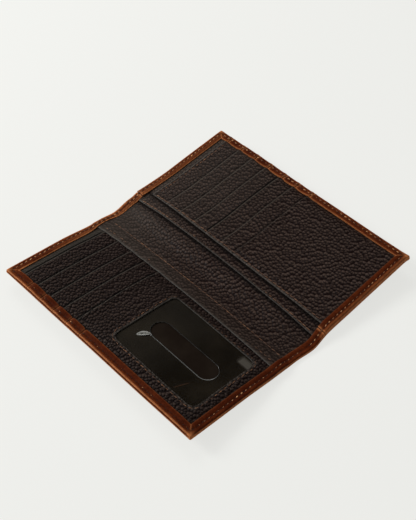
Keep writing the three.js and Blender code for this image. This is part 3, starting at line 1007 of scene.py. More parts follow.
def hem_row(x, y, inset):
    """Border stations on the turned hem, which is narrower at the pinches and at the far waist."""
    px, py = ring_place(x, y, inset)
    if inset > PINCH_FROM:
        share = (inset - PINCH_FROM) / (HEM_WIDTH - PINCH_FROM)
        px = px + np.sign(px) * PINCH_DRAW * share * pinch(px, py, 1.6)
    if inset > WAIST_FROM:
        py = py + far_waist(px, py) * (inset - WAIST_FROM) / (HEM_WIDTH - WAIST_FROM)
    px, py = drawn_corner(px, py)
    return px, py, hem_height(px, py)


def extruded_border(cover):
    """Extrudes the open border where it is, and gives the numbers of its new points."""
    take_up(cover)
    set_mode("EDIT")
    bpy.ops.mesh.select_mode(type="EDGE")
    bpy.ops.mesh.select_all(action="DESELECT")
    bpy.ops.mesh.select_non_manifold(extend=False)
    bpy.ops.mesh.extrude_region_move(TRANSFORM_OT_translate={"value": (0, 0, 0)})
    set_mode("OBJECT")
    chosen = np.zeros(len(cover.data.vertices), bool)
    cover.data.vertices.foreach_get("select", chosen)
    return np.flatnonzero(chosen)


def turn_hem(cover):
    """Adds the rolled edge and the hem ring by ring. Each new point keeps the border station it came from."""
    def key(point):
        return tuple(np.round(point, 4))

    points = points_of(cover)
    border = hem_inset(points[:, 0], points[:, 1]) < EDGE_ROLL + SAME_PLACE
    station_of = {key(point): point[:2] for point in points[border]}
    rings = [*((roll_row, degrees) for degrees in ROLL_ANGLES), *((hem_row, inset) for inset in HEM_INSETS)]
    for row, value in rings:
        index = extruded_border(cover)
        points = points_of(cover)
        sources = np.array([station_of[key(points[i])] for i in index])
        points[index] = np.stack(row(*sources.T, value), axis=1)
        set_points(cover, points)
        station_of = {key(point): source for point, source in zip(points_of(cover)[index], sources)}


def cover_stations(reach, marks):
    """Even stations between the two corner zones, and finer ones inside these."""
    corner = reach - CORNER_ZONE
    side = stations(corner, reach - EDGE_ROLL, CORNER_STEP)[1:]
    return np.concatenate([-side[::-1], stations(-corner, corner, COVER_STEP, marks), side])


def hemmed_cover():
    slit_sides = [x + side * SLIT_HALF for x in (NEAR_SLIT_X, FAR_SLIT_X) for side in (-1, 1)]
    pinch_sides = [y + offset for y in (*LEFT_PINCHES, *RIGHT_PINCHES) for offset in PINCH_STATIONS]
    xs = cover_stations(OUTER_X, [0.0, *slit_sides])
    cover = plan_grid("cover", xs, cover_stations(END_Y, pinch_sides))
    points = points_of(cover)
    points[:, 2] = outer_height(points[:, 0], points[:, 1])
    set_points(cover, points)
    set_mode("EDIT")
    bpy.ops.mesh.select_all(action="SELECT")
    bpy.ops.mesh.flip_normals()
    set_mode("OBJECT")
    turn_hem(cover)

    def in_slit(x, y, height):
        on_top = on_far_hem(np.abs(y)) & (height > COVER_THICKNESS + 0.5)
        return on_top & (np.abs(past_slit(x, y)) < SLIT_HALF)

    delete_faces(cover, in_slit)
    dress(cover, COGNAC, COGNAC_EDGE)
    thicken(cover, SHELL_THICKNESS, offset=-1.0)
    soften(cover, COVER_ROUND)
    return cover


def edge_share(x, y, height):
    """Share of the hem's height, which tells places on the rolled edge apart."""
    return height / np.maximum(hem_height(x, y), 1.0)


def cover_wear_and_light(x, y, height):
    """Lighter places: rubbed corners, creases, slits and mitres; the crest of the rolled edge, rubbed and
    with a painted highlight; painted light from the floor at its bottom; painted highlights on the lip of the
    hem, by the far left corner and on the rims of the pinches; and the bent far end, rubbed and with a
    painted sheen.
    """
    side, end, inset = OUTER_X - np.abs(x), END_Y - np.abs(y), hem_inset(x, y)
    on_top = smoothstep(height, 1.1, 1.8)
    share = edge_share(x, y, height)
    wall = (inset < 1.1) * 1.0
    near_wall = on_near_wall(y)
    # The crest of the rolled edge: partly rubbed, partly a painted highlight
    crest = near_line(share - np.where(near_wall, 0.56, 0.87), np.where(near_wall, 0.14, 0.09)) * wall
    # Painted light from the floor on the bottom of the rolled edge, and the near wall lighter
    lower = (1 - smoothstep(share, 0.2, 0.42)) * wall + 0.25 * near_wall * (share < 0.8) * wall
    # Painted highlight on the lip of the hem: full on the far and right sides, which face the light, faint
    # elsewhere
    lit_sides = np.where(on_far_hem(y) | (x > HEM_INNER_X - HEM_MARGIN), 1.0, 0.15)
    lip = smoothstep(inset + far_waist(x, y), HEM_WIDTH - 0.55, HEM_WIDTH - 0.2) * on_top * lit_sides
    corner = near_line(np.hypot(side, end), 3.2)
    bend = near_line(np.abs(x) - CREASE_X, 2.5) * (1 - on_top)
    slit = near_line(past_slit(x, y), 0.9) * on_top
    mitre = near_line(side - end, 0.55) * on_top * (inset < HEM_WIDTH)
    # Painted highlights on the rims of the pinches
    rims = pinch(x, y, 0.4, 0.85) * on_top * np.where(x > 0, 0.7, 0.3)
    worn_and_lit = 1.1 * crest + lower + np.where(x > 0, 0.6, 0.85) * lip + 0.85 * corner + 0.35 * bend
    worn_and_lit = worn_and_lit + 0.9 * slit + 0.4 * mitre + rims

    # The far hem lighter, partly rubbed and partly a painted sheen; the right part of the near hem lighter
    # down its wall
    far_bend = 0.5 * near_line(x + 10, 34) * (1 - 0.8 * near_line(inset - THREAD_INSET, 1.2))
    far_right = 0.12 * (x > 15) * smoothstep(inset, 1.5, 2.5)
    near_right = 0.3 * (x > 12) * on_near_hem(y) * (1 - smoothstep(inset, 0.8, 2.6))
    rubbed_and_lit = (far_bend + far_right) * on_far_hem(y) * on_top + near_right * smoothstep(share, 0.5, 0.8)
    to_left_corner = np.hypot(x + HEM_INNER_X - 4, y - HEM_INNER_Y)
    # Painted highlight on the lip by the far left corner
    painted_glint = 0.9 * near_line(to_left_corner, 4.5) * smoothstep(inset, 5.4, 6.2) * (y > HEM_INNER_Y - 2)
    return np.clip(worn_and_lit + rubbed_and_lit + painted_glint * on_top, 0, 1)


def cover_darkening(x, y, height):
    """Darker leather: the left half but for its far hem, the inner part of the hem, and the outer face."""
    inset = hem_inset(x, y)
    left = np.where(x < -HEM_INNER_X + HEM_MARGIN, 0.55, 1.0) * smoothstep(-x, -12, 30)
    left = left * (1 - smoothstep(y, HEM_INNER_Y - 4, HEM_INNER_Y + HEM_MARGIN))
    left = left * np.where(on_near_hem(y), 0.72, 1.0)
    inner_line = 0.75 * near_line(inset - 4.6, 1.3) * np.where(x > 0, 1.0, 0.5)
    inner = np.where(on_near_hem(y) & (x > 0), 0.7 * smoothstep(inset, 0.6, 3.4), inner_line)
    under = 0.35 * (1 - smoothstep(height, 0.1, 0.4))
    return np.clip(left + inner + under, 0, 1)


def cover_pressed(x, y, height):
    """Dark places: the row of thread, a painted shade in the seam groove of the rolled edge and in the
    pinches, and cracks in the far hem.
    """
    inset = hem_inset(x, y)
    on_top = smoothstep(height, 1.2, 2.0)
    row = 0.8 * near_line(inset - THREAD_INSET, 0.75) * on_top
    # Painted shade in the seam groove between the crests of the rolled edge, faint on the near wall
    seam_depth = np.where(on_near_wall(y), 0.15, 0.85)
    seam = seam_depth * near_line(edge_share(x, y, height) - 0.62, 0.12) * (inset < 1.2)
    holes = smoothstep(stitch_wave(x), 0.0, 0.8) * near_line(x + 2, 30) * on_far_hem(y)
    holes = holes * near_line(inset - THREAD_INSET - 0.2, 1.3) * on_top
    specks = np.sin(x * 2.3 + 1.7 * np.sin(y * 1.3)) * np.sin(y * 2.6 + 1.9 * np.sin(x * 0.7))
    cracked = 0.3 + (0.45 * near_line(x + 2, 28) + 0.2 * (x > 15)) * on_far_hem(y)
    cracks = smoothstep(specks, 0.1, 0.45) * cracked * on_top
    # Painted shade in the pinches
    pinched = 0.6 * pinch(x, y, 0.4) * smoothstep(height, 1.4, 2.4)
    return np.clip(row + seam + holes + cracks + pinched, 0, 1)


def split_at_spine(piece, left_name, right_name):
    """Cuts a piece in two at the middle of the spine. Each part is closed by a flat face."""
    parts = []
    for name, keep_left in ((left_name, True), (right_name, False)):
        part = piece.copy()
        part.data = piece.data.copy()
        part.name = part.data.name = name
        bpy.context.scene.collection.objects.link(part)
        take_up(part)
        set_mode("EDIT")
        bpy.ops.mesh.select_all(action="SELECT")
        bpy.ops.mesh.bisect(
            plane_co=(0, 0, 0), plane_no=(1, 0, 0), use_fill=True,
            clear_outer=keep_left, clear_inner=not keep_left,
        )
        set_mode("OBJECT")
        smooth(part)
        parts.append(part)
    bpy.data.objects.remove(piece)
    return parts


def bend_across(left_part, right_part):
    """Bakes the transform of the left and the right part into their meshes."""
    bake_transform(left_part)
    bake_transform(right_part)


def make_cover():
    cover = hemmed_cover()
    finish_sheet(cover, cover_wear_and_light, cover_pressed, cover_darkening)
    left, right = split_at_spine(cover, "cover_shell_left", "cover_shell_right")
    bend_across(left, right)
    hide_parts("cover_left", "cover_spine")
    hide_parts("cover_right")


# Thread: how deep each row lies in the leather, and how much the beads differ in turn and in size
PANEL_DEPTH = 0.1
OPEN_PANEL_DEPTH = 0.04
INNER_STRIP_DEPTH = 0.02
FAR_HEM_DEPTH = 0.04
NEAR_HEM_DEPTH = 0.16
LEFT_SIDE_DEPTH = 0.3
FRAME_REACH = 0.6
TURN_SPREAD = 0.07
SIZE_SPREAD = 0.07


def bead(name, size, material):
    """Rounded bead, long along X: one stitch, or the dimple between two."""
    deselect()
    bpy.ops.mesh.primitive_uv_sphere_add(segments=8, ring_count=5, radius=0.5)
    shape = added_piece(name)
    set_mode("EDIT")
    bpy.ops.mesh.select_all(action="SELECT")
    bpy.ops.transform.rotate(value=math.pi / 2, orient_axis="Y", center_override=(0, 0, 0))
    bpy.ops.transform.resize(value=size, center_override=(0, 0, 0))
    set_mode("OBJECT")
    bpy.ops.object.shade_smooth()
    dress(shape, material)
    return shape


def surface_frames(x, y, heading, top, side):
    """Place, forward, sideways and outward directions on the folded surface at plan points."""
    def at(px, py):
        return folded(np.stack([px, py, top(px, py)], axis=1)) / MM

    here = at(x, y)
    forward = at(x + FRAME_REACH * np.cos(heading), y + FRAME_REACH * np.sin(heading)) - here
    sideways = at(x - FRAME_REACH * np.sin(heading), y + FRAME_REACH * np.cos(heading)) - here
    forward /= np.linalg.norm(forward, axis=1, keepdims=True)
    normal = np.cross(forward, sideways) * side
    normal /= np.linalg.norm(normal, axis=1, keepdims=True)
    return zip(here, forward, np.cross(normal, forward), normal)


def placed_copy(template, length, sideways, outward, place):
    """Copy of a bead with its mesh turned to the three directions and moved to its place."""
    columns = np.array([length, sideways, outward, place]).T * MM
    copy = template.copy()
    copy.data = template.data.copy()
    copy.data.transform(Matrix([*columns.tolist(), (0, 0, 0, 1)]))
    bpy.context.scene.collection.objects.link(copy)
    return copy


def sew(name, thread_material, rows, stitch, hole, slant, loose):
    """One piece of thread work. A row is (x, y, heading, top, side, depth), a hole and a stitch by turns."""
    stitch_bead = bead("stitch", stitch, thread_material)
    hole_bead = bead("hole", hole, NEEDLE_HOLE)
    rng = np.random.default_rng(len(name))
    made = []
    for x, y, heading, top, side, depth in rows:
        for k, (here, forward, sideways, normal) in enumerate(surface_frames(x, y, heading, top, side)):
            is_stitch = k % 2
            turn = (slant + rng.uniform(-TURN_SPREAD, TURN_SPREAD)) * side if is_stitch else 0.0
            size = rng.uniform(1 - SIZE_SPREAD, 1 + SIZE_SPREAD)
            sink = depth + rng.uniform(0, loose) if is_stitch else 0.0
            ahead = forward * math.cos(turn) + sideways * math.sin(turn)
            template = stitch_bead if is_stitch else hole_bead
            place = here - normal * sink
            made.append(placed_copy(template, ahead * size, np.cross(normal, ahead), normal, place))
    deselect()
    for copy in made:
        copy.select_set(True)
    bpy.context.view_layer.objects.active = made[0]
    bpy.ops.object.join()
    piece = added_piece(name)
    bpy.data.objects.remove(stitch_bead)
    bpy.data.objects.remove(hole_bead)
    return piece


def half_pitches(low, high):
    """Stations at half stitch pitches between two limits, beginning and ending with a hole."""
    first, last = math.ceil(low / STITCH_PITCH), math.floor(high / STITCH_PITCH)
    return np.arange(2 * first, 2 * last + 1) * STITCH_PITCH / 2


def along_y(x_at, low, high, top, side=1, depth=PANEL_DEPTH):
    """Row along the wallet. x_at gives its place across for each y."""
    y = half_pitches(low, high)
    x = np.full(len(y), 0.0) + x_at(y)
    return x, y, np.arctan2(np.gradient(y), np.gradient(x)), top, side, depth


def along_x(y, low, high, top, side=1, depth=PANEL_DEPTH):
    x = half_pitches(low, high)
    return x, np.full(len(x), float(y)), np.zeros(len(x)), top, side, depth


def round_window(gap, look_ahead=0.2, corner_steps=13):
    """Path at a gap outside the window's outline, at even half pitches."""
    x0, x1, y0, y1 = WINDOW
    path = []
    for quarter, (side_x, side_y) in enumerate(((1, 1), (-1, 1), (-1, -1), (1, -1))):
        cx = (x1 if side_x > 0 else x0) - WINDOW_CORNER * side_x
        cy = (y1 if side_y > 0 else y0) - WINDOW_CORNER * side_y
        turns = np.linspace(quarter, quarter + 1, corner_steps) * math.pi / 2
        radius = WINDOW_CORNER + gap
        path.extend(zip(cx + radius * np.cos(turns), cy + radius * np.sin(turns)))
    path = np.array([*path, path[0]])
    lengths = np.concatenate([[0], np.cumsum(np.hypot(*np.diff(path, axis=0).T))])
    count = 2 * int(round(lengths[-1] / STITCH_PITCH))
    at = np.arange(count) * lengths[-1] / count
    x, y = (np.interp(at, lengths, values) for values in path.T)
    ahead_x, ahead_y = (np.interp(at + look_ahead, lengths, values) for values in path.T)
    return x, y, np.arctan2(ahead_y - y, ahead_x - x)


# Free edges of the long panels bow a little in plan. The rows of thread lie at an inset from an edge.
STRIP_BOW = 2.0
STRIP_BOW_REACH = 14
DIVIDER_BOW = 2.5
DIVIDER_BOW_REACH = 9
DIVIDER_SETBACK_AT_ENDS = 1.4
OUTER_ROW_BOW = 1.4
OUTER_ROW_INSET = 3.6
INNER_ROW_INSET = 11.3
DIVIDER_ROW_INSET = 1.45
CARD_ROW_INSET = 1.6
CARD_ROW_DROP = 2.2
WINDOW_ROW_GAP = 1.8


def strip_bow(x, y):
    return STRIP_BOW * arch(y) * (1 - smoothstep(x, STRIP_EDGE_X, STRIP_EDGE_X + STRIP_BOW_REACH))


def divider_bow(x, y):
    bow = DIVIDER_BOW * arch(y) - DIVIDER_SETBACK_AT_ENDS
    return bow * (1 - smoothstep(x, DIVIDER_X, DIVIDER_X + DIVIDER_BOW_REACH))


def no_bow(x, y):
    return np.zeros(np.shape(x))


def outer_row(y):
    return STRIP_EDGE_X + OUTER_ROW_INSET + OUTER_ROW_BOW * arch(y)


def inner_row(y):
    return STRIP_EDGE_X + INNER_ROW_INSET + STRIP_BOW * arch(y)


def divider_row(y):
    return DIVIDER_X + DIVIDER_ROW_INSET + DIVIDER_BOW * arch(y) - DIVIDER_SETBACK_AT_ENDS


# Openings
CUTTER_HEIGHT = 60.0


def cut_opening(piece, x0, x1, y0, y1, radius, segments):
    """Cuts an opening with round corners through a flat-lying sheet, with a tall box bevelled upright."""
    deselect()
    bpy.ops.mesh.primitive_cube_add(size=1, location=(0, 0, 0))
    cutter = added_piece("cutter")
    points = points_of(cutter) * (x1 - x0, y1 - y0, CUTTER_HEIGHT)
    set_points(cutter, points + ((x0 + x1) / 2, (y0 + y1) / 2, 0.0))
    set_mode("EDIT")
    bpy.ops.mesh.select_mode(type="EDGE")
    bpy.ops.mesh.select_all(action="DESELECT")
    set_mode("OBJECT")
    for edge in cutter.data.edges:
        a, b = (cutter.data.vertices[i].co for i in edge.vertices)
        edge.select = abs(a.z - b.z) > 1
    set_mode("EDIT")
    bpy.ops.mesh.bevel(offset=radius, segments=segments, affect="EDGES")
    set_mode("OBJECT")
    dress(cutter, PEBBLE, CUT_EDGE)
    for face in cutter.data.polygons:
        face.material_index = 1
    cut = piece.modifiers.new("opening", "BOOLEAN")
    cut.operation, cut.solver, cut.object = "DIFFERENCE", "EXACT", cutter
    apply_all(piece)
    bpy.data.objects.remove(cutter)


# Lighter, darker and pressed places of the sheets, as functions of x, y and height. Most of the lighter
# places are painted highlights and sheen, and most of the darker ones painted shade and shadows.
FAR_STRIP_WEAR = 0.06
LEFT_LEAF_DARKENING = 0.3
WINDOW_PANEL_DARKENING = 0.34
RIGHT_BACKING_MOUTH_SHADE = 0.5
RIGHT_LEAF_MOUTH_SHADE = 0.45
# The leaf under the widest gape takes the deepest painted shade at its crease
LEAF_UNDER_WIDEST_GAPE = 3


def evenly(amount):
    return lambda x, y, height: np.full(len(x), amount)


def painted_edge_light(mouth, inner=None, line=0.8):
    """Painted highlight along the mouth. A sheet with an inner edge has a painted highlight there too,
    and a painted sheen far out.
    """
    def wear_and_light(x, y, height):
        worn_and_lit = line * (1 - smoothstep(mouth - y, 0.3, 0.8))
        if inner is not None:
            worn_and_lit = np.maximum(worn_and_lit, 0.8 * np.exp(-np.abs(x - inner) / 0.35)) + 0.12 * smoothstep(y, -10, 60)
        return np.clip(worn_and_lit, 0, 1)
    return wear_and_light


# Painted highlight round the window's edges and along its mouth
def window_edge_light(x, y, height):
    x0, x1, y0, y1 = WINDOW
    outside = np.maximum(np.maximum(x0 - x, x - x1), np.maximum(y0 - y, y - y1))
    return np.maximum(0.85 * np.exp(-np.abs(outside) / 0.5), painted_edge_light(WINDOW_MOUTH)(x, y, height))


def on_strip(x, y, before, after):
    """1 on the strip of the centre panel, fading out across its inner row of thread."""
    return 1 - smoothstep(x, inner_row(y) - before, inner_row(y) + after)


# Painted highlight along the strip's edge, and painted sheen on the strip and the valley towards the far end
def panel_light(x, y, height):
    edge = np.exp(-np.maximum(x - strip_bow(x, y) - STRIP_EDGE_X, 0) / 0.8)
    strip = on_strip(x, y, 1.5, 1)
    valley = 0.22 * smoothstep(y, 5, 85) * (1 - strip) * (1 - smoothstep(x, 3, 16))
    return 0.8 * edge + (0.03 + 0.17 * smoothstep(y, -40, 70)) * strip + valley


# Painted highlight along the edge, painted sheen towards the far end, and painted light on the strip beyond
# the card pockets, which lies in shade
def divider_light(x, y, height):
    edge = 0.8 * np.exp(-np.abs(x - divider_bow(x, y) - DIVIDER_X) / 0.4)
    beyond_cards = 0.15 * smoothstep(y, CARD_BACKING_TOP - 2, CARD_BACKING_TOP + 1)
    return edge + 0.13 * smoothstep(y, 10, 75) + beyond_cards


def painted_mouth_shade(sheet, reach, depth=1.0, all_over=0.0):
    """Painted shade in the crease under the mouth of the next leaf, over an even darkening where one is
    given.
    """
    def shade_and_darkening(x, y, height):
        across = band(x, (reach[0] - 1, reach[0] + 3), (reach[1] - 3, reach[1] + 1))
        return np.maximum(depth * across * band(y - sheet.next_mouth, (-0.4, 0.2), (1.6, 2.3)), all_over)
    return shade_and_darkening


def painted_edge_shadow(edge, bow):
    """Painted shadow beside the long free edge of the panel above."""
    return lambda x, y, height: near_line(x - edge - bow(np.full(len(x), edge), y) + 0.6, 1.6)


def hem_pressed(x, y, height):
    """Where the hem holds the leather flat."""
    return np.clip(1 - smoothstep(hem_inset(x, y), HEM_WIDTH, HEM_WIDTH + 2.5), 0, 1)


def mouth_pressed(mouth):
    """Flat by the hem and along the folded mouth of a pocket."""
    return lambda x, y, height: np.maximum(hem_pressed(x, y, height), 1 - smoothstep(mouth - y, 0.5, 1.5))


def panel_pressed(x, y, height):
    far_end = smoothstep(np.abs(y), 55, 85) * (1 - smoothstep(x, 4, 14))
    pressed = hem_pressed(x, y, height) + 0.62 * on_strip(x, y, 1, 4)
    return np.clip(pressed + np.where(y > 0, 0.85, 0.4) * far_end, 0, 1)


def make_card_leaf(side, number, sheet, hide, wear_and_light, shade_and_darkening):
    leaf = sheet_piece(f"{side}_pocket_leaf_{number}", sheet, hide=hide)
    soften(leaf, LEAF_ROUND)
    finish_sheet(leaf, wear_and_light, mouth_pressed(sheet.mouth), shade_and_darkening)
    stand_in(leaf, f"{side}_half", f"{side}_card_leaf_{number}")


def make_left_half():
    backing = sheet_piece("left_pocket_backing", left_backing, step=1.8, hide=FINE_PEBBLE)
    finish_sheet(backing, evenly(FAR_STRIP_WEAR), hem_pressed, painted_mouth_shade(left_backing, LEFT_REACH))
    stand_in(backing, "left_half", "left_backing_panel")
    for number, sheet in enumerate(left_leaves, 1):
        shade_and_darkening = painted_mouth_shade(sheet, LEFT_REACH, all_over=LEFT_LEAF_DARKENING)
        make_card_leaf("left", number, sheet, PEBBLE, painted_edge_light(sheet.mouth), shade_and_darkening)

    back_sheet = sheet_piece("window_back_sheet", id_sheet, step=2.0, hide=ID_SHEET, edge=ID_SHEET)
    finish_sheet(back_sheet)
    stand_in(back_sheet, "left_half", "id_back_sheet")
    make_film()
    make_slot_bead()
    make_film_curl()

    window = sheet_piece("window_frame_panel", window_panel)
    cut_opening(window, *WINDOW, WINDOW_CORNER, 10)
    soften(window, LEAF_ROUND)
    finish_sheet(window, window_edge_light, hem_pressed, evenly(WINDOW_PANEL_DARKENING))
    stand_in(window, "left_half", "id_window_panel")


# The film: a clouded patch by the near right corner of the window, and a curl by the far end of the slot
CLOUDED_X = ((-39.5, -38), (-34, -32.5))
CLOUDED_Y = ((-76, -74.5), (-66.5, -65))
CURL_START = np.array([-72.8, -10.3])
CURL_END = np.array([-65.0, -16.0])
CURL_HALF_WIDTH = 1.7
CURL_THICKNESS = 0.2
CURL_BOW = 0.3
CURL_CROWN = 0.5
CURL_GAP = 0.05
SLOT_BEAD_RADIUS = 0.3
SLOT_BEAD_FLATNESS = 0.7
SLOT_BEAD_SINK = 0.02
FLAT_BETWEEN_ROUNDS = 0.01


def make_film():
    clear = sheet_piece("clear_window_film", film, step=1.5, hide=WINDOW_FILM, edge=FILM_RIM)
    low, high = SLOT_Y[0] - SLOT_RADIUS, SLOT_Y[1] + SLOT_RADIUS
    end_round = SLOT_RADIUS - FLAT_BETWEEN_ROUNDS
    cut_opening(clear, SLOT_X - SLOT_RADIUS, SLOT_X + SLOT_RADIUS, low, high, end_round, 12)
    x, y, _ = points_of(clear).T
    # Clouded over a patch by the near right corner of the window, and paler towards the far end
    give(clear, "flaw", band(x, *CLOUDED_X) * band(y, *CLOUDED_Y) + 0.13 * smoothstep(y, -55, -20))
    fold_in_place(clear)
    stand_in(clear, "left_half", "id_window_film")


def make_slot_bead():
    """Bead of the heat-cut slot: a ring drawn out along Y, with a painted highlight along its left side and
    near bend.
    """
    deselect()
    bpy.ops.mesh.primitive_torus_add(
        major_segments=64, minor_segments=8, major_radius=SLOT_RADIUS, minor_radius=SLOT_BEAD_RADIUS,
        location=(0, 0, 0),
    )
    rim = added_piece("film_slot_bead")
    x, y, z = points_of(rim).T
    half = (SLOT_Y[1] - SLOT_Y[0]) / 2
    on_axis = np.abs(y) < SAME_PLACE
    y = y + half * np.where(on_axis, 1.0, np.sign(y)) + (SLOT_Y[0] + SLOT_Y[1]) / 2
    x = x + SLOT_X
    dress(rim, FILM_RIM)
    turn = np.arctan2(y - np.clip(y, *SLOT_Y), x - SLOT_X)
    # Painted highlight along the left side and at the near bend, where the rim catches the light
    left = smoothstep(SLOT_X - x, 3.5, 6.5) * (1 - smoothstep(y, -22, -12))
    near_bend = near_line(turn + 2.0, 0.5) * (y < SLOT_Y[0])
    give(rim, "wear_and_light", np.clip(0.5 * left + near_bend, 0, 1))
    height = z * SLOT_BEAD_FLATNESS + film.top(x, y) - SLOT_BEAD_SINK
    set_points(rim, folded(np.stack([x, y, height], axis=1)))
    bpy.ops.object.shade_smooth()
    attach(rim, "left_half")


def make_film_curl():
    """Leaf-shaped curl of film, domed along its middle and raised at its two edges."""
    curl = plan_grid("film_curl", np.linspace(0, 1, 15), np.linspace(-1, 1, 7))
    t, w, _ = points_of(curl).T
    way = (CURL_END - CURL_START) / np.linalg.norm(CURL_END - CURL_START)
    aside = np.array([-way[1], way[0]])
    arc = np.sin(math.pi * t)
    off_middle = CURL_HALF_WIDTH * arc ** 0.75 * w + CURL_BOW * arc
    x, y = (CURL_START[:, None] + (CURL_END - CURL_START)[:, None] * t) + aside[:, None] * off_middle
    crown = CURL_CROWN * arc * (0.3 + 0.7 * w ** 2)
    set_points(curl, np.stack([x, y, film.top(x, y) + CURL_GAP + crown], axis=1))
    dress(curl, FILM_FLAW)
    # Painted highlight round the border of the curl
    give(curl, "wear_and_light", smoothstep(np.abs(w), 0.45, 0.95))
    thicken(curl, CURL_THICKNESS)
    fold_in_place(curl)
    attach(curl, "left_half")


def make_centre_panel():
    panel = sheet_piece("centre_panel", centre_panel, marks=[0.0], bow=strip_bow, hide=PEBBLE_RIGHT)
    soften(panel, PANEL_ROUND)
    finish_sheet(panel, panel_light, panel_pressed, painted_edge_shadow(DIVIDER_X, divider_bow))
    left, right = split_at_spine(panel, "centre_strip", "long_pocket_floor")
    bend_across(left, right)
    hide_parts("centre_panel_left", "centre_panel_spine")
    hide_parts("centre_panel_right")


def make_right_half():
    pocket_divider = sheet_piece("long_pocket_divider", divider, step=1.4, bow=divider_bow, hide=PEBBLE_RIGHT)
    soften(pocket_divider, PANEL_ROUND)
    finish_sheet(pocket_divider, divider_light, hem_pressed, painted_edge_shadow(CARD_BACKING_X, no_bow))
    stand_in(pocket_divider, "right_half", "bill_divider")

    backing = sheet_piece("right_pocket_backing", card_backing, step=1.4, hide=PEBBLE_RIGHT)
    soften(backing, LEAF_ROUND)
    wear_and_light = painted_edge_light(CARD_BACKING_TOP, CARD_BACKING_X)
    finish_sheet(backing, wear_and_light, hem_pressed, painted_mouth_shade(card_backing, RIGHT_REACH, RIGHT_BACKING_MOUTH_SHADE))
    stand_in(backing, "right_half", "right_card_backing")

    for number, sheet in enumerate(right_leaves, 1):
        wear_and_light = painted_edge_light(sheet.mouth, CARD_BACKING_X, 0.55)
        shade_and_darkening = painted_mouth_shade(sheet, RIGHT_REACH, 1.0 if number == LEAF_UNDER_WIDEST_GAPE else RIGHT_LEAF_MOUTH_SHADE)
        make_card_leaf("right", number, sheet, PEBBLE_RIGHT, wear_and_light, shade_and_darkening)

    slip = sheet_piece("plain_slip_panel", slip_panel, hide=PEBBLE_RIGHT)
    soften(slip, PANEL_ROUND)
    finish_sheet(slip, painted_edge_light(SLIP_MOUTH, CARD_BACKING_X, 0.3), hem_pressed)
    stand_in(slip, "right_half", "right_slip_panel")


def sew_hem():
    """The row along the hem shows on both faces of the cover. Each half of it is one piece."""
    side, end = OUTER_X - THREAD_INSET, END_Y - THREAD_INSET
    halves = []
    for name, sign in (("hem_thread_left", -1), ("hem_thread_right", 1)):
        rows = []
        low, high = sorted((sign * 0.1, sign * side))
        for top, out in ((hem_height, 1), (outer_height, -1)):
            side_depth = LEFT_SIDE_DEPTH if sign < 0 < out else PANEL_DEPTH
            rows.append(along_y(lambda y: sign * side, -end, end, top, out, side_depth))
            rows.append(along_x(-end, low, high, top, out, NEAR_HEM_DEPTH))
            rows.append(along_x(end, low, high, top, out, FAR_HEM_DEPTH))
        halves.append(sew(name, HEM_THREAD, rows, **HEM_SEAM))
    bend_across(*halves)


def sew_panels():
    low, high = -HEM_INNER_Y, HEM_INNER_Y
    strip = sew("centre_strip_thread", PANEL_THREAD, [
        along_y(outer_row, low, high, centre_panel.top),
        along_y(inner_row, low, high, centre_panel.top, depth=INNER_STRIP_DEPTH),
    ], **PANEL_SEAM)
    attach(strip, "left_half")
    window_row = (*round_window(WINDOW_ROW_GAP), window_panel.top, 1, PANEL_DEPTH)
    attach(sew("window_thread", PANEL_THREAD, [window_row], **PANEL_SEAM), "left_half")
    bill_row = along_y(divider_row, low, high, divider.top, depth=OPEN_PANEL_DEPTH)
    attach(sew("divider_thread", PANEL_THREAD, [bill_row], **PANEL_SEAM), "right_half")

    row_x, row_y = CARD_BACKING_X + CARD_ROW_INSET, CARD_BACKING_TOP - CARD_ROW_DROP

    def card_top(x, y):
        return sampled(STACK, x, y)

    cards = sew("card_backing_thread", PANEL_THREAD, [
        along_y(lambda y: row_x, low, row_y, card_top, depth=OPEN_PANEL_DEPTH),
        along_x(row_y, row_x + 1, HEM_INNER_X, card_top),
    ], **PANEL_SEAM)
    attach(cards, "right_half")


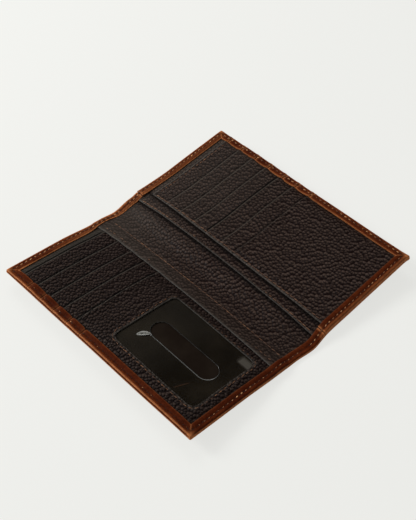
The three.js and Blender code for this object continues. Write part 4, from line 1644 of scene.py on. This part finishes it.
# Light and floor. A lamp is its name, place in metres, size, power, and whether shiny pieces mirror it.
WORLD_STRENGTH = 0.26
LAMPS = (
    ("key", (-0.64, 1.04, 0.85), 0.5, 19.0, True),
    ("fill", (0.5, 0.95, 1.1), 0.8, 7.4, False),
)
FLOOR_GREY = rgb(0.85, 0.855, 0.825)
FLOOR_PALE = rgb(0.87, 0.875, 0.845)
FLOOR_SEEN = rgb(0.865, 0.868, 0.838)
SEEN_SHARE = 0.82


def set_light():
    world = bpy.data.worlds.new("studio")
    world.use_nodes = True
    bpy.context.scene.world = world
    background = world.node_tree.nodes["Background"]
    background.inputs["Color"].default_value = rgb(1.0, 1.0, 1.0)
    background.inputs["Strength"].default_value = WORLD_STRENGTH
    for name, place, size, power, mirrored in LAMPS:
        data = bpy.data.lights.new(name, "AREA")
        data.shape, data.size, data.energy = "SQUARE", size, power
        lamp = bpy.data.objects.new(name, data)
        bpy.context.scene.collection.objects.link(lamp)
        lamp.location = place
        lamp.rotation_euler = (-Vector(place)).to_track_quat("-Z", "Y").to_euler()
        lamp.visible_glossy = mirrored


def set_floor():
    """Pale floor, which takes the object's shadow and shows evenly pale to the camera and in shiny pieces."""
    deselect()
    bpy.ops.mesh.primitive_plane_add(size=FLOOR_SIZE, location=(0, 0, 0))
    floor = added_piece("floor")
    look = Look("floor")
    speck = look.noise(2.0, detail=2.0)
    lit = look.node("ShaderNodeBsdfDiffuse", {}, Color=look.mix(speck, FLOOR_GREY, FLOOR_PALE))
    glow = look.node("ShaderNodeEmission", {}, Color=FLOOR_SEEN, Strength=1.0)
    seen = look.node("ShaderNodeLightPath", {}, output="Is Camera Ray")
    mirrored = look.node("ShaderNodeLightPath", {}, output="Is Glossy Ray")
    blend = look.node("ShaderNodeMixShader", {}, seen.math("MAXIMUM", mirrored) * SEEN_SHARE, lit, glow)
    look.tree.links.new(blend.socket, look.output.inputs["Surface"])
    dress(floor, look.material)


def main():
    place_camera()
    make_cover()
    make_left_half()
    make_centre_panel()
    make_right_half()
    sew_hem()
    sew_panels()
    set_light()
    set_floor()
    bpy.context.scene.view_settings.view_transform = "Standard"


main()
